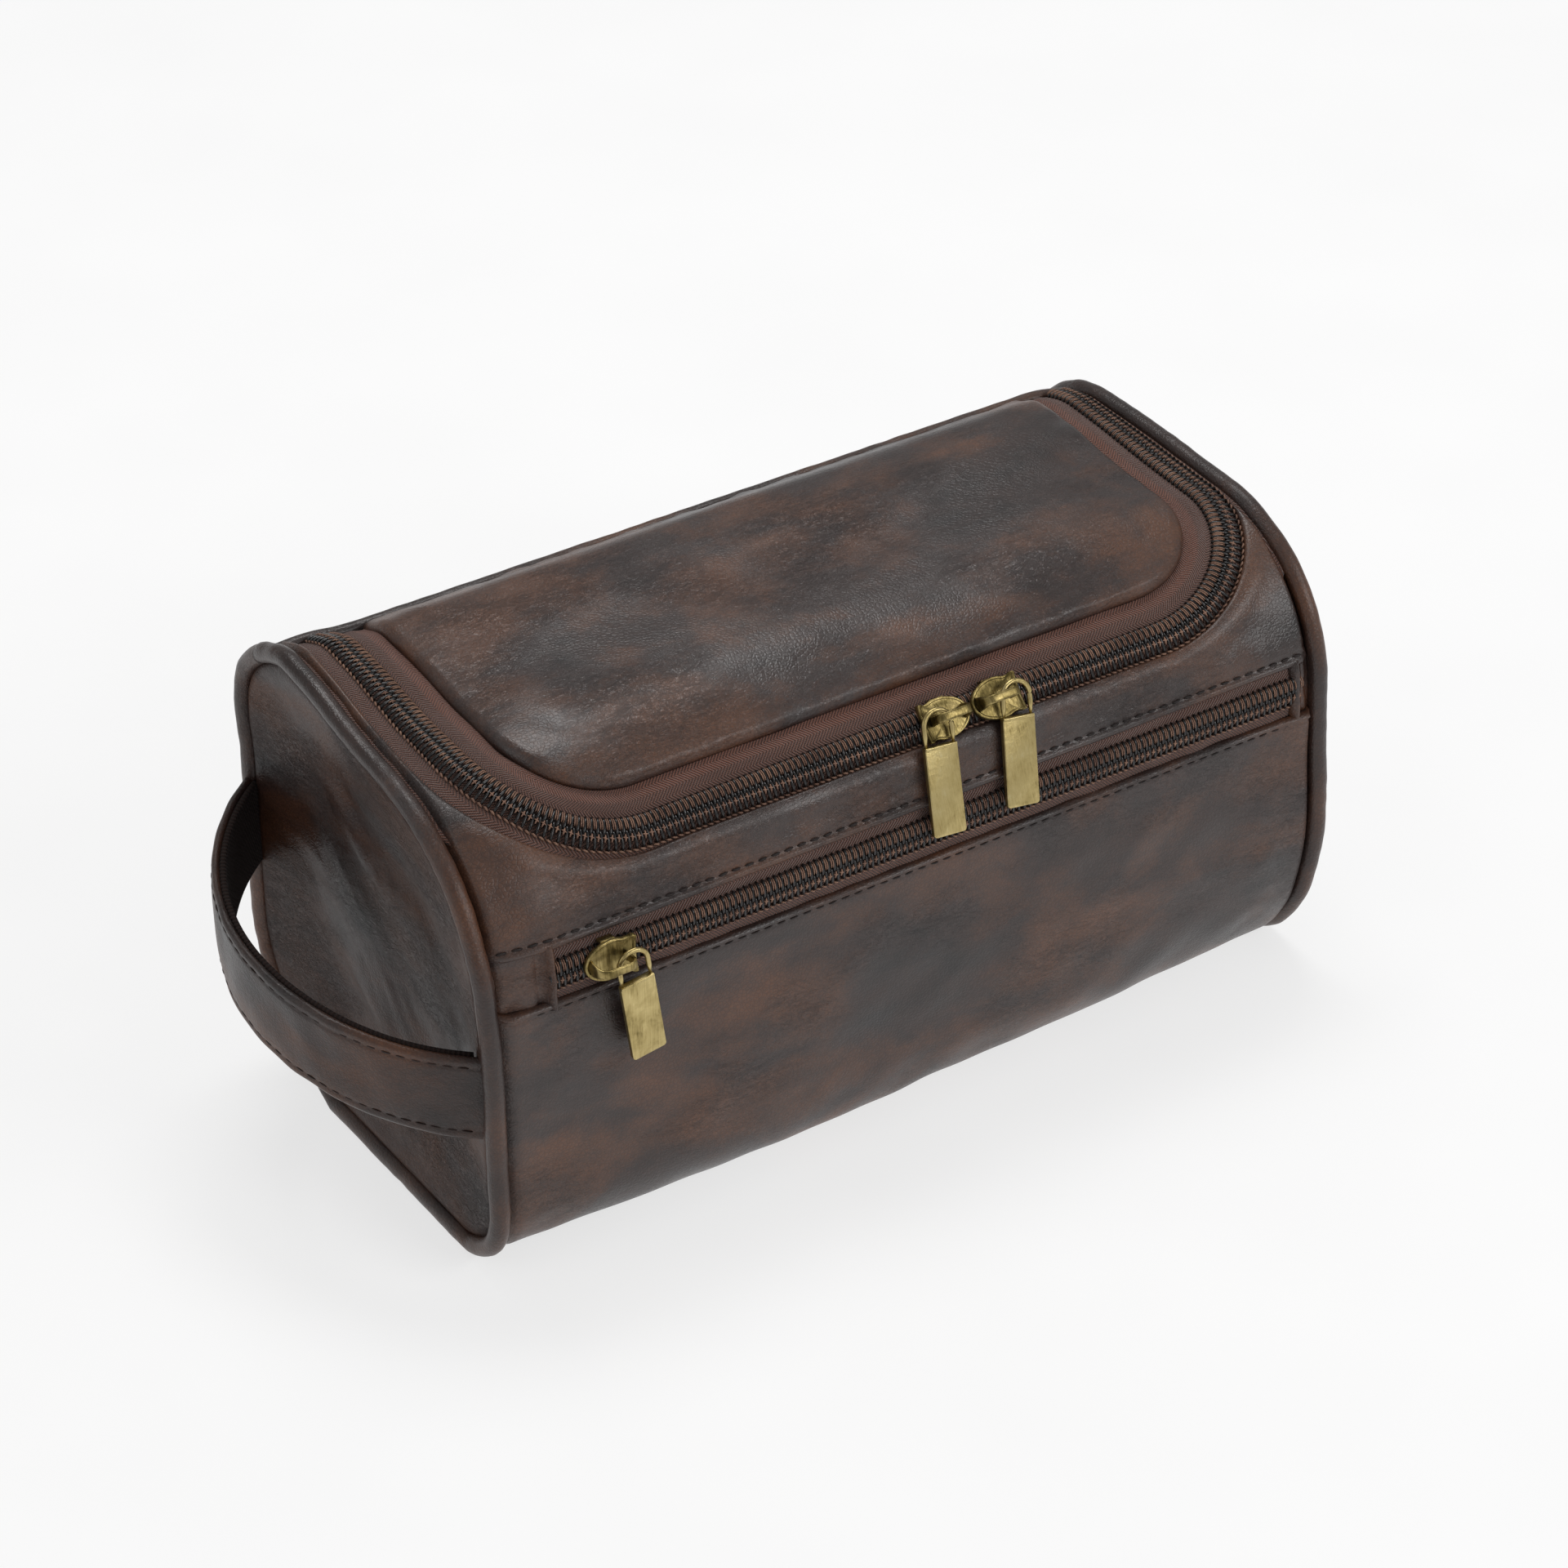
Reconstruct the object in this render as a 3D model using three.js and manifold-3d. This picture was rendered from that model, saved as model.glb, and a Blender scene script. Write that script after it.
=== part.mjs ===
// Leather shaving kit bag: a D-section shell with a U-shaped two-slider zip round a lid,
// a zipped front pocket, and a carry strap on the left end.
// Millimetres. +X runs along the bag, -Y is the front, +Z is up, and the origin is the
// centre of the base.

import * as THREE from "three";
import { mergeVertices } from "three/addons/utils/BufferGeometryUtils.js";
import Module from "manifold-3d";

const wasm = await Module();
wasm.setup();

// ---- Driving dimensions ----------------------------------------------------------------

const BAG_LENGTH = 260;
const BAG_DEPTH = 127;
const FRONT_BOTTOM_RADIUS = 24;
const SHOULDER_RADIUS = 46; // front top and rear bottom
const REAR_TOP_RADIUS = 30;
const FRONT_TOP_HEIGHT = 130;
const REAR_TOP_HEIGHT = 132;
const HINGE_ANGLE = 64.3; // where the rear seam lies on the rear top corner, from +Y
const ARC_STEP = 11.25; // degrees of profile between facets

const LEATHER = 1.2;
const FABRIC = 0.6;
const SEAM_GAP = 0.4;
const LINING_LAYER = 4.9; // how far the lining lies under the outer surface

const PIPING_RADIUS = 2.8;
const PIPING_SIDES = 8;
const REAR_PIPING_SIDES = 10;
const PIPING_LAYER = 1.5; // its centre line lies this far under the outer surface
const END_PANEL_RECESS = 2.7; // from the piping's outermost line
const REAR_PIPING_RADIUS = 2;
const REAR_PIPING_LAYER = 1;
const HINGE_CLEARANCE = 3; // surface distance from the hinge line to what turns round it

const ZIP_HALF_WIDTH = 115.5; // from the middle of the U to the middle of its side runs
const ZIP_SHIFT = 3.5; // the U's middle lies this far to the right of the bag's
const ZIP_FRONT_HEIGHT = 113.5; // middle of the main zip's front run
const ZIP_CORNER = 38;
const COIL_INNER = 0.8; // from the middle of a zip to the near edge of each coil and tape
const COIL_OUTER = 4.2;
const COIL_TOP = -0.6; // layers are depths under the leather's outer surface
const COIL_BOTTOM = 1.3;
const TAPE_LAYER = 1.7;
const TAPE_WIDTH = 17;
const CUT_ABOVE = -8; // layers between which a cutting block runs
const CUT_BELOW = 14;
const CUT_STEP = 9; // degrees of a zip corner between facets
const LID_LEATHER_EDGE = 11.7; // from the middle of the main zip
const FRONT_LEATHER_EDGE = 4.8;
const SIDE_LEATHER_EDGE = 5.2;
const LINING_EDGE = 8;

const POCKET_TOP_EDGE_HEIGHT = 95.5;
const POCKET_ZIP_HEIGHT = 88.5;
const POCKET_PANEL_HEIGHT = 81;
const POCKET_LEFT_END = -110;
const POCKET_RIGHT_END = 119;
const POCKET_TAPE_WIDTH = 10;
const POCKET_DROP = 66;

const SLIDER_LENGTH = 14.5;
const SLIDER_HALF_WIDTH = 5.5;
const SLIDER_PLATE = 1.2;
const SLIDER_RISE = 1; // from the leather's surface to the underside of the top plate
const SLIDER_UNDER_TAPE = 0.8; // room for the curve of the tape
const CROWN_HEIGHT = 5.6;
const CROWN_BAND = 0.8;
const CROWN_WIDTH = 2.2;
const TAB_AXIS_RISE = 2.9; // above the top plate
const TAB_OFFSET = 4.5; // from the slider's middle towards its square end
const SLIDER_WING = 4; // length of its square end
const SLIDER_WING_INSET = 1; // how far the wings' tips stand in from its full width
const SLIDER_WAIST_INSET = 1.4;
const SLIDER_FLANGE = 0.9;
const SLIDER_POST_LENGTH = 4;
const SLIDER_POST_START = 1.5; // before the start of the flanges
const SLIDER_UNDER_PLATE = 1;
const JOIN_OVERLAP = 0.2; // how far solids that are joined into one run into each other
const CROWN_START = 1.6; // from the slider's round end
const CROWN_FOOT_GAP = 0.3;
const CROWN_BEND = 3;
const TAB_WIDTH = 9.8;
const TAB_THICKNESS = 1.8;
const TAB_WIRE = 1.2;
const TAB_EYE_TOP = 3.3;
const TAB_EYE_BOTTOM = -6.6;
const TAB_END = -30;
const TAB_CORNER = 1;
const TAB_EYE_INSET = 0.3; // the eye is this much narrower than the plate, each side
const TAB_EYE_CURVE = 1.6; // its round top starts this far below the tab's axis
const LEFT_SLIDER_X = 12.5;
const RIGHT_SLIDER_X = 28;
const POCKET_SLIDER_X = -95;
const MAIN_TAB_TILT = 20; // how far a tab leans in from its slider's plate, at rest
const POCKET_TAB_TILT = 5.6;

const HANDLE_CENTRE = new THREE.Vector2(-92.5, 0.5);
const HANDLE_RADIUS = 68;
const HANDLE_WIDTH = 25;
const HANDLE_MIDDLE_HEIGHT = 62.5;
const HANDLE_SLOPE = 0.142; // rise towards the back, per millimetre
const HANDLE_LEATHER = 2.2;
const HANDLE_WEBBING = 1.6;
const HANDLE_MOVING_ANGLE = 46.5; // each side of the strap's middle
const HANDLE_END_ANGLE = 61;
const HANDLE_STEP = 8; // degrees between facets
const HANDLE_LAYER_GAP = 0.3;
const WEBBING_INSET = 2.5; // each edge, from the strap's
const WEBBING_END_ANGLE = 45.5;
const END_GAP_ANGLE = 0.4;

// ---- Colours ---------------------------------------------------------------------------

const finish = (color, roughness, metalness = 0) => ({ color, roughness, metalness });
const LEATHER_FINISH = finish(0x4a3a35, 0.45);
const PIPING_FINISH = finish(0x40332f, 0.4);
const TAPE_FINISH = finish(0x6b483c, 0.9);
const COIL_FINISH = finish(0x1c1817, 0.5);
const LINING_FINISH = finish(0x5a4a3c, 0.85);
const FOAM_FINISH = finish(0xb8b2a6, 0.95);
const BOARD_FINISH = finish(0x9a8260, 0.9);
const BRASS_FINISH = finish(0xa8955a, 0.4, 0.9);
const WEBBING_FINISH = finish(0x2a2422, 0.9);

// ---- The outline: one closed curve in (y, z), measured by its length u from the hinge ----

const radians = THREE.MathUtils.degToRad;
const halfDepth = BAG_DEPTH / 2;
const frontShoulder = {
  y: SHOULDER_RADIUS - halfDepth,
  z: FRONT_TOP_HEIGHT - SHOULDER_RADIUS,
  radius: SHOULDER_RADIUS,
};
const frontBottom = {
  y: FRONT_BOTTOM_RADIUS - halfDepth,
  z: FRONT_BOTTOM_RADIUS,
  radius: FRONT_BOTTOM_RADIUS,
};
const rearBottom = {
  y: halfDepth - SHOULDER_RADIUS,
  z: SHOULDER_RADIUS,
  radius: SHOULDER_RADIUS,
};
const rearTop = {
  y: halfDepth - REAR_TOP_RADIUS,
  z: REAR_TOP_HEIGHT - REAR_TOP_RADIUS,
  radius: REAR_TOP_RADIUS,
};

const outline = new THREE.Path();
const levels = [0]; // the values of u where a facet of the shell starts

function addArc(corner, from, to) {
  const start = outline.curves.length ? outline.getLength() : 0;
  outline.absarc(corner.y, corner.z, corner.radius, radians(from), radians(to), false);
  const length = radians(to - from) * corner.radius;
  const steps = Math.ceil((to - from) / ARC_STEP);
  for (let step = 0; step <= steps; step += 1) {
    levels.push(start + (length * step) / steps);
  }
}

function straightTo(corner, angle) {
  outline.lineTo(
    corner.y + corner.radius * Math.cos(radians(angle)),
    corner.z + corner.radius * Math.sin(radians(angle)),
  );
  outline.updateArcLengths();
}

addArc(rearTop, HINGE_ANGLE, 90);
outline.updateArcLengths();
straightTo(frontShoulder, 90);
addArc(frontShoulder, 90, 180);
outline.updateArcLengths();
straightTo(frontBottom, 180);
addArc(frontBottom, 180, 270);
outline.updateArcLengths();
straightTo(rearBottom, 270);
addArc(rearBottom, 270, 360);
outline.updateArcLengths();
straightTo(rearTop, 0);
addArc(rearTop, 0, HINGE_ANGLE);
outline.updateArcLengths();

const girth = outline.getLength();

// The point on the bag at x, at u along the outline and at a depth under its surface.
function onSkin(x, u, layer) {
  const share = THREE.MathUtils.euclideanModulo(u, girth) / girth;
  const point = outline.getPointAt(share);
  const tangent = outline.getTangentAt(share);
  return new THREE.Vector3(x, point.x - tangent.y * layer, point.y + tangent.x * layer);
}

// u of a height on the front of the bag, on the shoulder or on the flat below it.
const topLength = radians(90 - HINGE_ANGLE) * REAR_TOP_RADIUS
  + Math.hypot(rearTop.y - frontShoulder.y, REAR_TOP_HEIGHT - FRONT_TOP_HEIGHT);
const shoulderEnd = topLength + radians(90) * SHOULDER_RADIUS;
function frontAt(height) {
  const above = height - frontShoulder.z;
  if (above < 0) return shoulderEnd - above;
  return shoulderEnd - SHOULDER_RADIUS * Math.asin(above / SHOULDER_RADIUS);
}

const flatLength = frontShoulder.z - frontBottom.z;
const bottomStart = shoulderEnd + flatLength + radians(90) * FRONT_BOTTOM_RADIUS;
const bottomEnd = bottomStart + rearBottom.y - frontBottom.y;
const zipFront = frontAt(ZIP_FRONT_HEIGHT);
const pocketZip = frontAt(POCKET_ZIP_HEIGHT);
const bandHalfLength = BAG_LENGTH / 2 - 2 * PIPING_RADIUS - SEAM_GAP;

// ---- Solids ----------------------------------------------------------------------------

// A three.js geometry as a manifold-3d solid, and back.
function solid(geometry) {
  const bare = geometry.index ? geometry.clone() : geometry;
  bare.deleteAttribute("normal");
  bare.deleteAttribute("uv");
  const merged = mergeVertices(bare, 1e-4);
  return new wasm.Manifold(new wasm.Mesh({
    numProp: 3,
    vertProperties: new Float32Array(merged.attributes.position.array),
    triVerts: new Uint32Array(merged.index.array),
  }));
}

function geometryOf(made) {
  const mesh = made.getMesh();
  return new THREE.BufferGeometry()
    .setAttribute("position", new THREE.BufferAttribute(mesh.vertProperties, 3))
    .setIndex(new THREE.BufferAttribute(mesh.triVerts, 1))
    .toNonIndexed();
}

// Pushes a drawn shape out along Z, after dropping points that lie on each other.
function extrude(shape, depth, curveSegments) {
  const distinct = (points) => points.filter(
    (p, i) => p.distanceTo(points[(i + 1) % points.length]) > 1e-3,
  );
  const drawn = new THREE.Shape(distinct(shape.getPoints(curveSegments)));
  drawn.holes = shape.holes.map(
    (hole) => new THREE.Path(distinct(hole.getPoints(curveSegments))),
  );
  return new THREE.ExtrudeGeometry(drawn, { depth, bevelEnabled: false });
}

// Skins a list of sections, each a ring of the same number of points.
function loft(sections, closed = false) {
  const sides = sections[0].length;
  const count = sections.length;
  const index = [];
  const spans = closed ? count : count - 1;
  for (let row = 0; row < spans; row += 1) {
    const next = (row + 1) % count;
    for (let side = 0; side < sides; side += 1) {
      const other = (side + 1) % sides;
      const a = row * sides + side;
      const b = row * sides + other;
      const c = next * sides + other;
      const d = next * sides + side;
      index.push(a, b, c, a, c, d);
    }
  }
  if (!closed) {
    const last = (count - 1) * sides;
    for (let side = 1; side < sides - 1; side += 1) {
      index.push(0, side + 1, side, last, last + side, last + side + 1);
    }
  }
  const geometry = new THREE.BufferGeometry().setFromPoints(sections.flat());
  geometry.setIndex(index);
  return geometry;
}

// Turns a shape drawn in (y, z) and pushed along its third axis to lie along X.
const alongX = new THREE.Matrix4().makeBasis(
  new THREE.Vector3(0, 1, 0),
  new THREE.Vector3(0, 0, 1),
  new THREE.Vector3(1, 0, 0),
);

function pushAlongX(points, x0, x1) {
  const shape = new THREE.Shape(points.map((p) => new THREE.Vector2(p.y, p.z)));
  return extrude(shape, x1 - x0).applyMatrix4(alongX).translate(x0, 0, 0);
}

function levelsBetween(u0, u1) {
  const inside = levels.filter((u) => u > u0 + 0.2 && u < u1 - 0.2);
  return [u0, ...new Set(inside), u1];
}

// A strip of the shell, from u0 to u1, between two depths.
function band(u0, u1, x0, x1, layer, thickness) {
  const us = levelsBetween(u0, u1);
  const outer = us.map((u) => onSkin(0, u, layer));
  const inner = us.map((u) => onSkin(0, u, layer + thickness)).reverse();
  return pushAlongX([...outer, ...inner], x0, x1);
}

// A flat D-shaped plate inside the shell, its edge at a depth under the outline.
function endPlate(edgeLayer, lowest, x0, x1) {
  const points = levelsBetween(0, girth).slice(0, -1).map((u) => onSkin(0, u, edgeLayer));
  points.forEach((p) => {
    p.z = Math.max(p.z, lowest);
  });
  return pushAlongX(points, x0, x1);
}

// Everything inside the main zip's U, grown by some distance, as a deep block for cutting.
function insideZip(grow, sideGrow = grow) {
  const half = ZIP_HALF_WIDTH + sideGrow;
  const front = zipFront + grow;
  const corner = ZIP_CORNER + grow;
  const sections = [];
  const add = (u, width) => sections.push([
    onSkin(ZIP_SHIFT - width, u, CUT_ABOVE),
    onSkin(ZIP_SHIFT + width, u, CUT_ABOVE),
    onSkin(ZIP_SHIFT + width, u, CUT_BELOW),
    onSkin(ZIP_SHIFT - width, u, CUT_BELOW),
  ]);
  for (let angle = 0; angle <= 90; angle += CUT_STEP) {
    add(
      front - corner * (1 - Math.cos(radians(angle))),
      half - corner * (1 - Math.sin(radians(angle))),
    );
  }
  const rest = levelsBetween(-HINGE_CLEARANCE, front - corner).slice(0, -1).reverse();
  rest.forEach((u) => add(u, half));
  return solid(loft(sections));
}

function zipRing(layer, thickness, outer, inner) {
  const whole = solid(band(
    HINGE_CLEARANCE, zipFront + 2 * TAPE_WIDTH, -bandHalfLength, bandHalfLength,
    layer, thickness,
  ));
  return geometryOf(whole.intersect(insideZip(outer)).subtract(insideZip(inner)));
}

function piping(side) {
  const sides = PIPING_SIDES;
  const x = side * (BAG_LENGTH / 2 - PIPING_RADIUS);
  const sections = levelsBetween(0, girth).slice(0, -1).map((u) => {
    const centre = onSkin(x, u, PIPING_LAYER);
    const normal = onSkin(0, u, 0).sub(onSkin(0, u, 1));
    centre.z = Math.max(centre.z, PIPING_RADIUS);
    return Array.from({ length: sides }, (_, i) => {
      const angle = ((i + 0.5) / sides) * 2 * Math.PI;
      const reach = PIPING_RADIUS / Math.cos(Math.PI / sides);
      return centre.clone()
        .addScaledVector(normal, reach * Math.sin(angle))
        .add(new THREE.Vector3(reach * Math.cos(angle), 0, 0));
    });
  });
  return loft(sections, true);
}

// ---- The bag ---------------------------------------------------------------------------

const bag = new THREE.Group();

function place(name, geometry, look, parent = bag) {
  const mesh = new THREE.Mesh(geometry, new THREE.MeshStandardMaterial(look));
  mesh.name = name;
  parent.add(mesh);
  return mesh;
}

function placeLeather() {
  const upper = solid(band(
    HINGE_CLEARANCE, frontAt(POCKET_TOP_EDGE_HEIGHT), -bandHalfLength, bandHalfLength,
    0, LEATHER,
  ));
  const cut = upper.subtract(insideZip(FRONT_LEATHER_EDGE, SIDE_LEATHER_EDGE));
  place("front_upper_panel", geometryOf(cut), LEATHER_FINISH);

  const strip = (name, u0, u1) => place(
    name, band(u0, u1, -bandHalfLength, bandHalfLength, 0, LEATHER), LEATHER_FINISH,
  );
  strip("front_pocket_panel", frontAt(POCKET_PANEL_HEIGHT), bottomStart);
  strip("bottom_panel", bottomStart + SEAM_GAP, bottomEnd);
  strip("back_panel", bottomEnd + SEAM_GAP, girth - HINGE_CLEARANCE);

  const face = BAG_LENGTH / 2 - END_PANEL_RECESS;
  const edgeLayer = PIPING_LAYER + PIPING_RADIUS + SEAM_GAP;
  const lowest = 2 * PIPING_RADIUS + SEAM_GAP;
  const plate = (name, x0, x1) => place(
    name, endPlate(edgeLayer, lowest, x0, x1), LEATHER_FINISH,
  );
  plate("left_end_panel", -face, LEATHER - face);
  plate("right_end_panel", face - LEATHER, face);
  place("left_piping", piping(-1), PIPING_FINISH);
  place("right_piping", piping(1), PIPING_FINISH);

  const welt = new THREE.CylinderGeometry(
    REAR_PIPING_RADIUS, REAR_PIPING_RADIUS, 2 * bandHalfLength, REAR_PIPING_SIDES,
  );
  const rear = place("rear_piping", welt, PIPING_FINISH);
  rear.position.copy(onSkin(0, 0, REAR_PIPING_LAYER));
  rear.rotation.z = Math.PI / 2;
}

function placePocketZip() {
  const tapeTop = pocketZip - POCKET_TAPE_WIDTH;
  const tapeBottom = pocketZip + POCKET_TAPE_WIDTH;
  const tape = (name, u0, u1) => place(
    name,
    band(u0, u1, POCKET_LEFT_END - LEATHER, POCKET_RIGHT_END + LEATHER, TAPE_LAYER, FABRIC),
    TAPE_FINISH,
  );
  tape("pocket_zip_upper_tape", tapeTop, pocketZip - COIL_INNER);
  tape("pocket_zip_lower_tape", pocketZip + COIL_INNER, tapeBottom);

  const coil = (name, u0, u1) => place(
    name,
    band(
      u0, u1, POCKET_LEFT_END + SEAM_GAP, POCKET_RIGHT_END - SEAM_GAP,
      COIL_TOP, COIL_BOTTOM - COIL_TOP,
    ),
    COIL_FINISH,
  );
  coil("pocket_zip_upper_coil", pocketZip - COIL_OUTER, pocketZip - COIL_INNER);
  coil("pocket_zip_lower_coil", pocketZip + COIL_INNER, pocketZip + COIL_OUTER);

  const cover = (name, x0, x1) => place(
    name,
    band(
      frontAt(POCKET_TOP_EDGE_HEIGHT) + SEAM_GAP, frontAt(POCKET_PANEL_HEIGHT) - SEAM_GAP,
      x0, x1, 0, LEATHER,
    ),
    LEATHER_FINISH,
  );
  cover("pocket_zip_left_cover", -bandHalfLength, POCKET_LEFT_END);
  cover("pocket_zip_right_cover", POCKET_RIGHT_END, bandHalfLength);

  place(
    "pocket_lining",
    band(
      tapeBottom + SEAM_GAP, pocketZip + POCKET_DROP, POCKET_LEFT_END, POCKET_RIGHT_END,
      TAPE_LAYER + FABRIC + SEAM_GAP, FABRIC,
    ),
    LINING_FINISH,
  );
}

function placeMainZip(lid) {
  place("main_zip_outer_tape", zipRing(TAPE_LAYER, FABRIC, TAPE_WIDTH, COIL_INNER), TAPE_FINISH);
  place(
    "main_zip_outer_coil",
    zipRing(COIL_TOP, COIL_BOTTOM - COIL_TOP, COIL_OUTER, COIL_INNER),
    COIL_FINISH,
  );
  place(
    "main_zip_inner_tape", zipRing(TAPE_LAYER, FABRIC, -COIL_INNER, -TAPE_WIDTH),
    TAPE_FINISH, lid,
  );
  place(
    "main_zip_inner_coil",
    zipRing(COIL_TOP, COIL_BOTTOM - COIL_TOP, -COIL_INNER, -COIL_OUTER),
    COIL_FINISH, lid,
  );
}

function placeLid(lid) {
  const sheet = (layer, thickness, edge) => {
    const whole = solid(band(
      HINGE_CLEARANCE, zipFront, -bandHalfLength, bandHalfLength, layer, thickness,
    ));
    return geometryOf(whole.intersect(insideZip(-edge)));
  };
  place("lid_panel", sheet(0, LEATHER, LID_LEATHER_EDGE), LEATHER_FINISH, lid);
  const foamTop = LEATHER + SEAM_GAP;
  const foam = LINING_LAYER - SEAM_GAP - foamTop;
  place("lid_padding", sheet(foamTop, foam, TAPE_WIDTH + SEAM_GAP), FOAM_FINISH, lid);
  place("lid_lining", sheet(LINING_LAYER, FABRIC, LINING_EDGE), LINING_FINISH, lid);
}

function placeLinings() {
  const half = bandHalfLength - SEAM_GAP;
  const strip = (name, u0, u1) => place(
    name, band(u0, u1, -half, half, LINING_LAYER, FABRIC), LINING_FINISH,
  );
  strip("front_lining", zipFront + LINING_EDGE, bottomStart);
  strip("bottom_lining", bottomStart + SEAM_GAP, bottomEnd);
  strip("back_lining", bottomEnd + SEAM_GAP, girth - HINGE_CLEARANCE - LINING_LAYER);
  const edgeLayer = LINING_LAYER + FABRIC + SEAM_GAP;
  const plate = (name, x0, x1) => place(
    name, endPlate(edgeLayer, edgeLayer, x0, x1), LINING_FINISH,
  );
  plate("left_end_lining", -half, FABRIC - half);
  plate("right_end_lining", half - FABRIC, half);

  const boardTop = LINING_LAYER - SEAM_GAP;
  const boardBottom = LEATHER + SEAM_GAP;
  const board = new THREE.BoxGeometry(
    2 * half, rearBottom.y - frontBottom.y, boardTop - boardBottom,
  );
  place("base_board", board, BOARD_FINISH).position.set(
    0, (rearBottom.y + frontBottom.y) / 2, (boardTop + boardBottom) / 2,
  );
}

// ---- Sliders and their pull tabs -------------------------------------------------------

// In the slider's own frame X runs along the zip towards its square end, Y across the zip
// and Z out of the bag, with Z = 0 on the leather's surface.
function box(x0, x1, y0, y1, z0, z1) {
  return new THREE.BoxGeometry(x1 - x0, y1 - y0, z1 - z0)
    .translate((x0 + x1) / 2, (y0 + y1) / 2, (z0 + z1) / 2);
}

const plateTop = SLIDER_RISE + SLIDER_PLATE;

function sliderBody(holdsBothTapes, lidSide) {
  const half = SLIDER_HALF_WIDTH;
  const square = SLIDER_LENGTH / 2;
  const plate = new THREE.Shape();
  const waist = square - SLIDER_WING / 2;
  plate.moveTo(square, SLIDER_WING_INSET - half);
  plate.lineTo(square, half - SLIDER_WING_INSET);
  plate.lineTo(waist, half - SLIDER_WAIST_INSET);
  plate.lineTo(square - SLIDER_WING, half);
  plate.absarc(half - square, 0, half, radians(90), radians(270), false);
  plate.lineTo(square - SLIDER_WING, -half);
  plate.lineTo(waist, SLIDER_WAIST_INSET - half);
  const top = extrude(plate, SLIDER_PLATE, 10).translate(0, 0, SLIDER_RISE);
  let body = solid(top);

  const roof = SLIDER_RISE + JOIN_OVERLAP;
  const tapeBottom = TAPE_LAYER + FABRIC + SLIDER_UNDER_TAPE;
  const post = COIL_INNER - SEAM_GAP;
  const lowest = -tapeBottom - SLIDER_UNDER_PLATE;
  const flangeStart = half - square;
  const postStart = flangeStart - SLIDER_POST_START;
  body = body.add(solid(box(
    postStart, postStart + SLIDER_POST_LENGTH, -post, post, lowest, roof,
  )));
  const flangeBottom = SEAM_GAP - TAPE_LAYER;
  const sides = holdsBothTapes ? [-1, 1] : [lidSide];
  sides.forEach((side) => {
    const near = side * (half - SLIDER_FLANGE);
    const far = side * half;
    body = body.add(solid(box(
      flangeStart, square - SLIDER_WING, Math.min(near, far), Math.max(near, far),
      flangeBottom, roof,
    )));
    const inner = -side * post;
    body = body.add(solid(box(
      flangeStart - 2 * SLIDER_POST_START, waist,
      Math.min(inner, far), Math.max(inner, far), lowest, -tapeBottom,
    )));
  });
  return geometryOf(body);
}

function crown() {
  const left = CROWN_START - SLIDER_LENGTH / 2;
  const right = TAB_OFFSET + CROWN_BAND / 2;
  const foot = plateTop + CROWN_FOOT_GAP;
  const top = plateTop + CROWN_HEIGHT;
  const bend = CROWN_BEND;
  const arch = new THREE.Shape();
  arch.moveTo(left, foot);
  arch.lineTo(left, top - bend);
  arch.absarc(left + bend, top - bend, bend, radians(180), radians(90), true);
  arch.absarc(right - bend, top - bend, bend, radians(90), 0, true);
  arch.lineTo(right, foot);
  arch.lineTo(right - CROWN_BAND, foot);
  arch.absarc(right - bend, top - bend, bend - CROWN_BAND, 0, radians(90), false);
  arch.absarc(left + bend, top - bend, bend - CROWN_BAND, radians(90), radians(180), false);
  arch.lineTo(left + CROWN_BAND, foot);
  return extrude(arch, CROWN_WIDTH, 5)
    .translate(0, 0, -CROWN_WIDTH / 2).rotateX(Math.PI / 2);
}

// A tab in its own frame: its axis is X through the origin, and it hangs down -Y.
function pullTab() {
  const half = TAB_WIDTH / 2;
  const plate = new THREE.Shape();
  const round = TAB_CORNER;
  plate.moveTo(half, TAB_EYE_BOTTOM);
  plate.lineTo(-half, TAB_EYE_BOTTOM);
  plate.absarc(round - half, TAB_END + round, round, radians(180), radians(270), false);
  plate.absarc(half - round, TAB_END + round, round, radians(270), radians(360), false);
  const solidPlate = extrude(plate, TAB_THICKNESS, 4)
    .translate(0, 0, -TAB_THICKNESS / 2);

  const rise = TAB_EYE_TOP + TAB_EYE_CURVE;
  const drawArch = (path, width, height, bottom) => {
    path.moveTo(-width, bottom);
    path.lineTo(width, bottom);
    path.absellipse(0, TAB_EYE_TOP - rise, width, height, 0, Math.PI, false, 0);
    return path;
  };
  const outer = half - TAB_EYE_INSET;
  const eye = drawArch(new THREE.Shape(), outer, rise, TAB_EYE_BOTTOM - JOIN_OVERLAP);
  eye.holes.push(drawArch(new THREE.Path(), outer - TAB_WIRE, rise - TAB_WIRE, TAB_EYE_BOTTOM));
  const ring = extrude(eye, TAB_WIRE, 10).translate(0, 0, -TAB_WIRE / 2);
  return geometryOf(solid(solidPlate).add(solid(ring)));
}

// facing is 1 where the square end points to +X, and -1 where it points to -X.
function placeSlider(name, x, u, facing, tilt, holdsBothTapes) {
  const site = new THREE.Group();
  const surface = onSkin(x, u, 0);
  const normal = surface.clone().sub(onSkin(x, u, 1));
  const lean = Math.atan2(-normal.y, normal.z);
  site.position.copy(surface);
  site.rotation.x = lean;
  bag.add(site);

  const turned = new THREE.Group();
  turned.rotation.z = facing > 0 ? 0 : Math.PI;
  site.add(turned);
  place(name + "_body", sliderBody(holdsBothTapes, facing), BRASS_FINISH, turned);
  place(name + "_crown", crown(), BRASS_FINISH, turned);

  const tab = place(name + "_pull_tab", pullTab(), BRASS_FINISH, site);
  tab.position.set(facing * TAB_OFFSET, 0, plateTop + TAB_AXIS_RISE);
  tab.rotation.x = radians(tilt);
}

// ---- The carry strap -------------------------------------------------------------------

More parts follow.
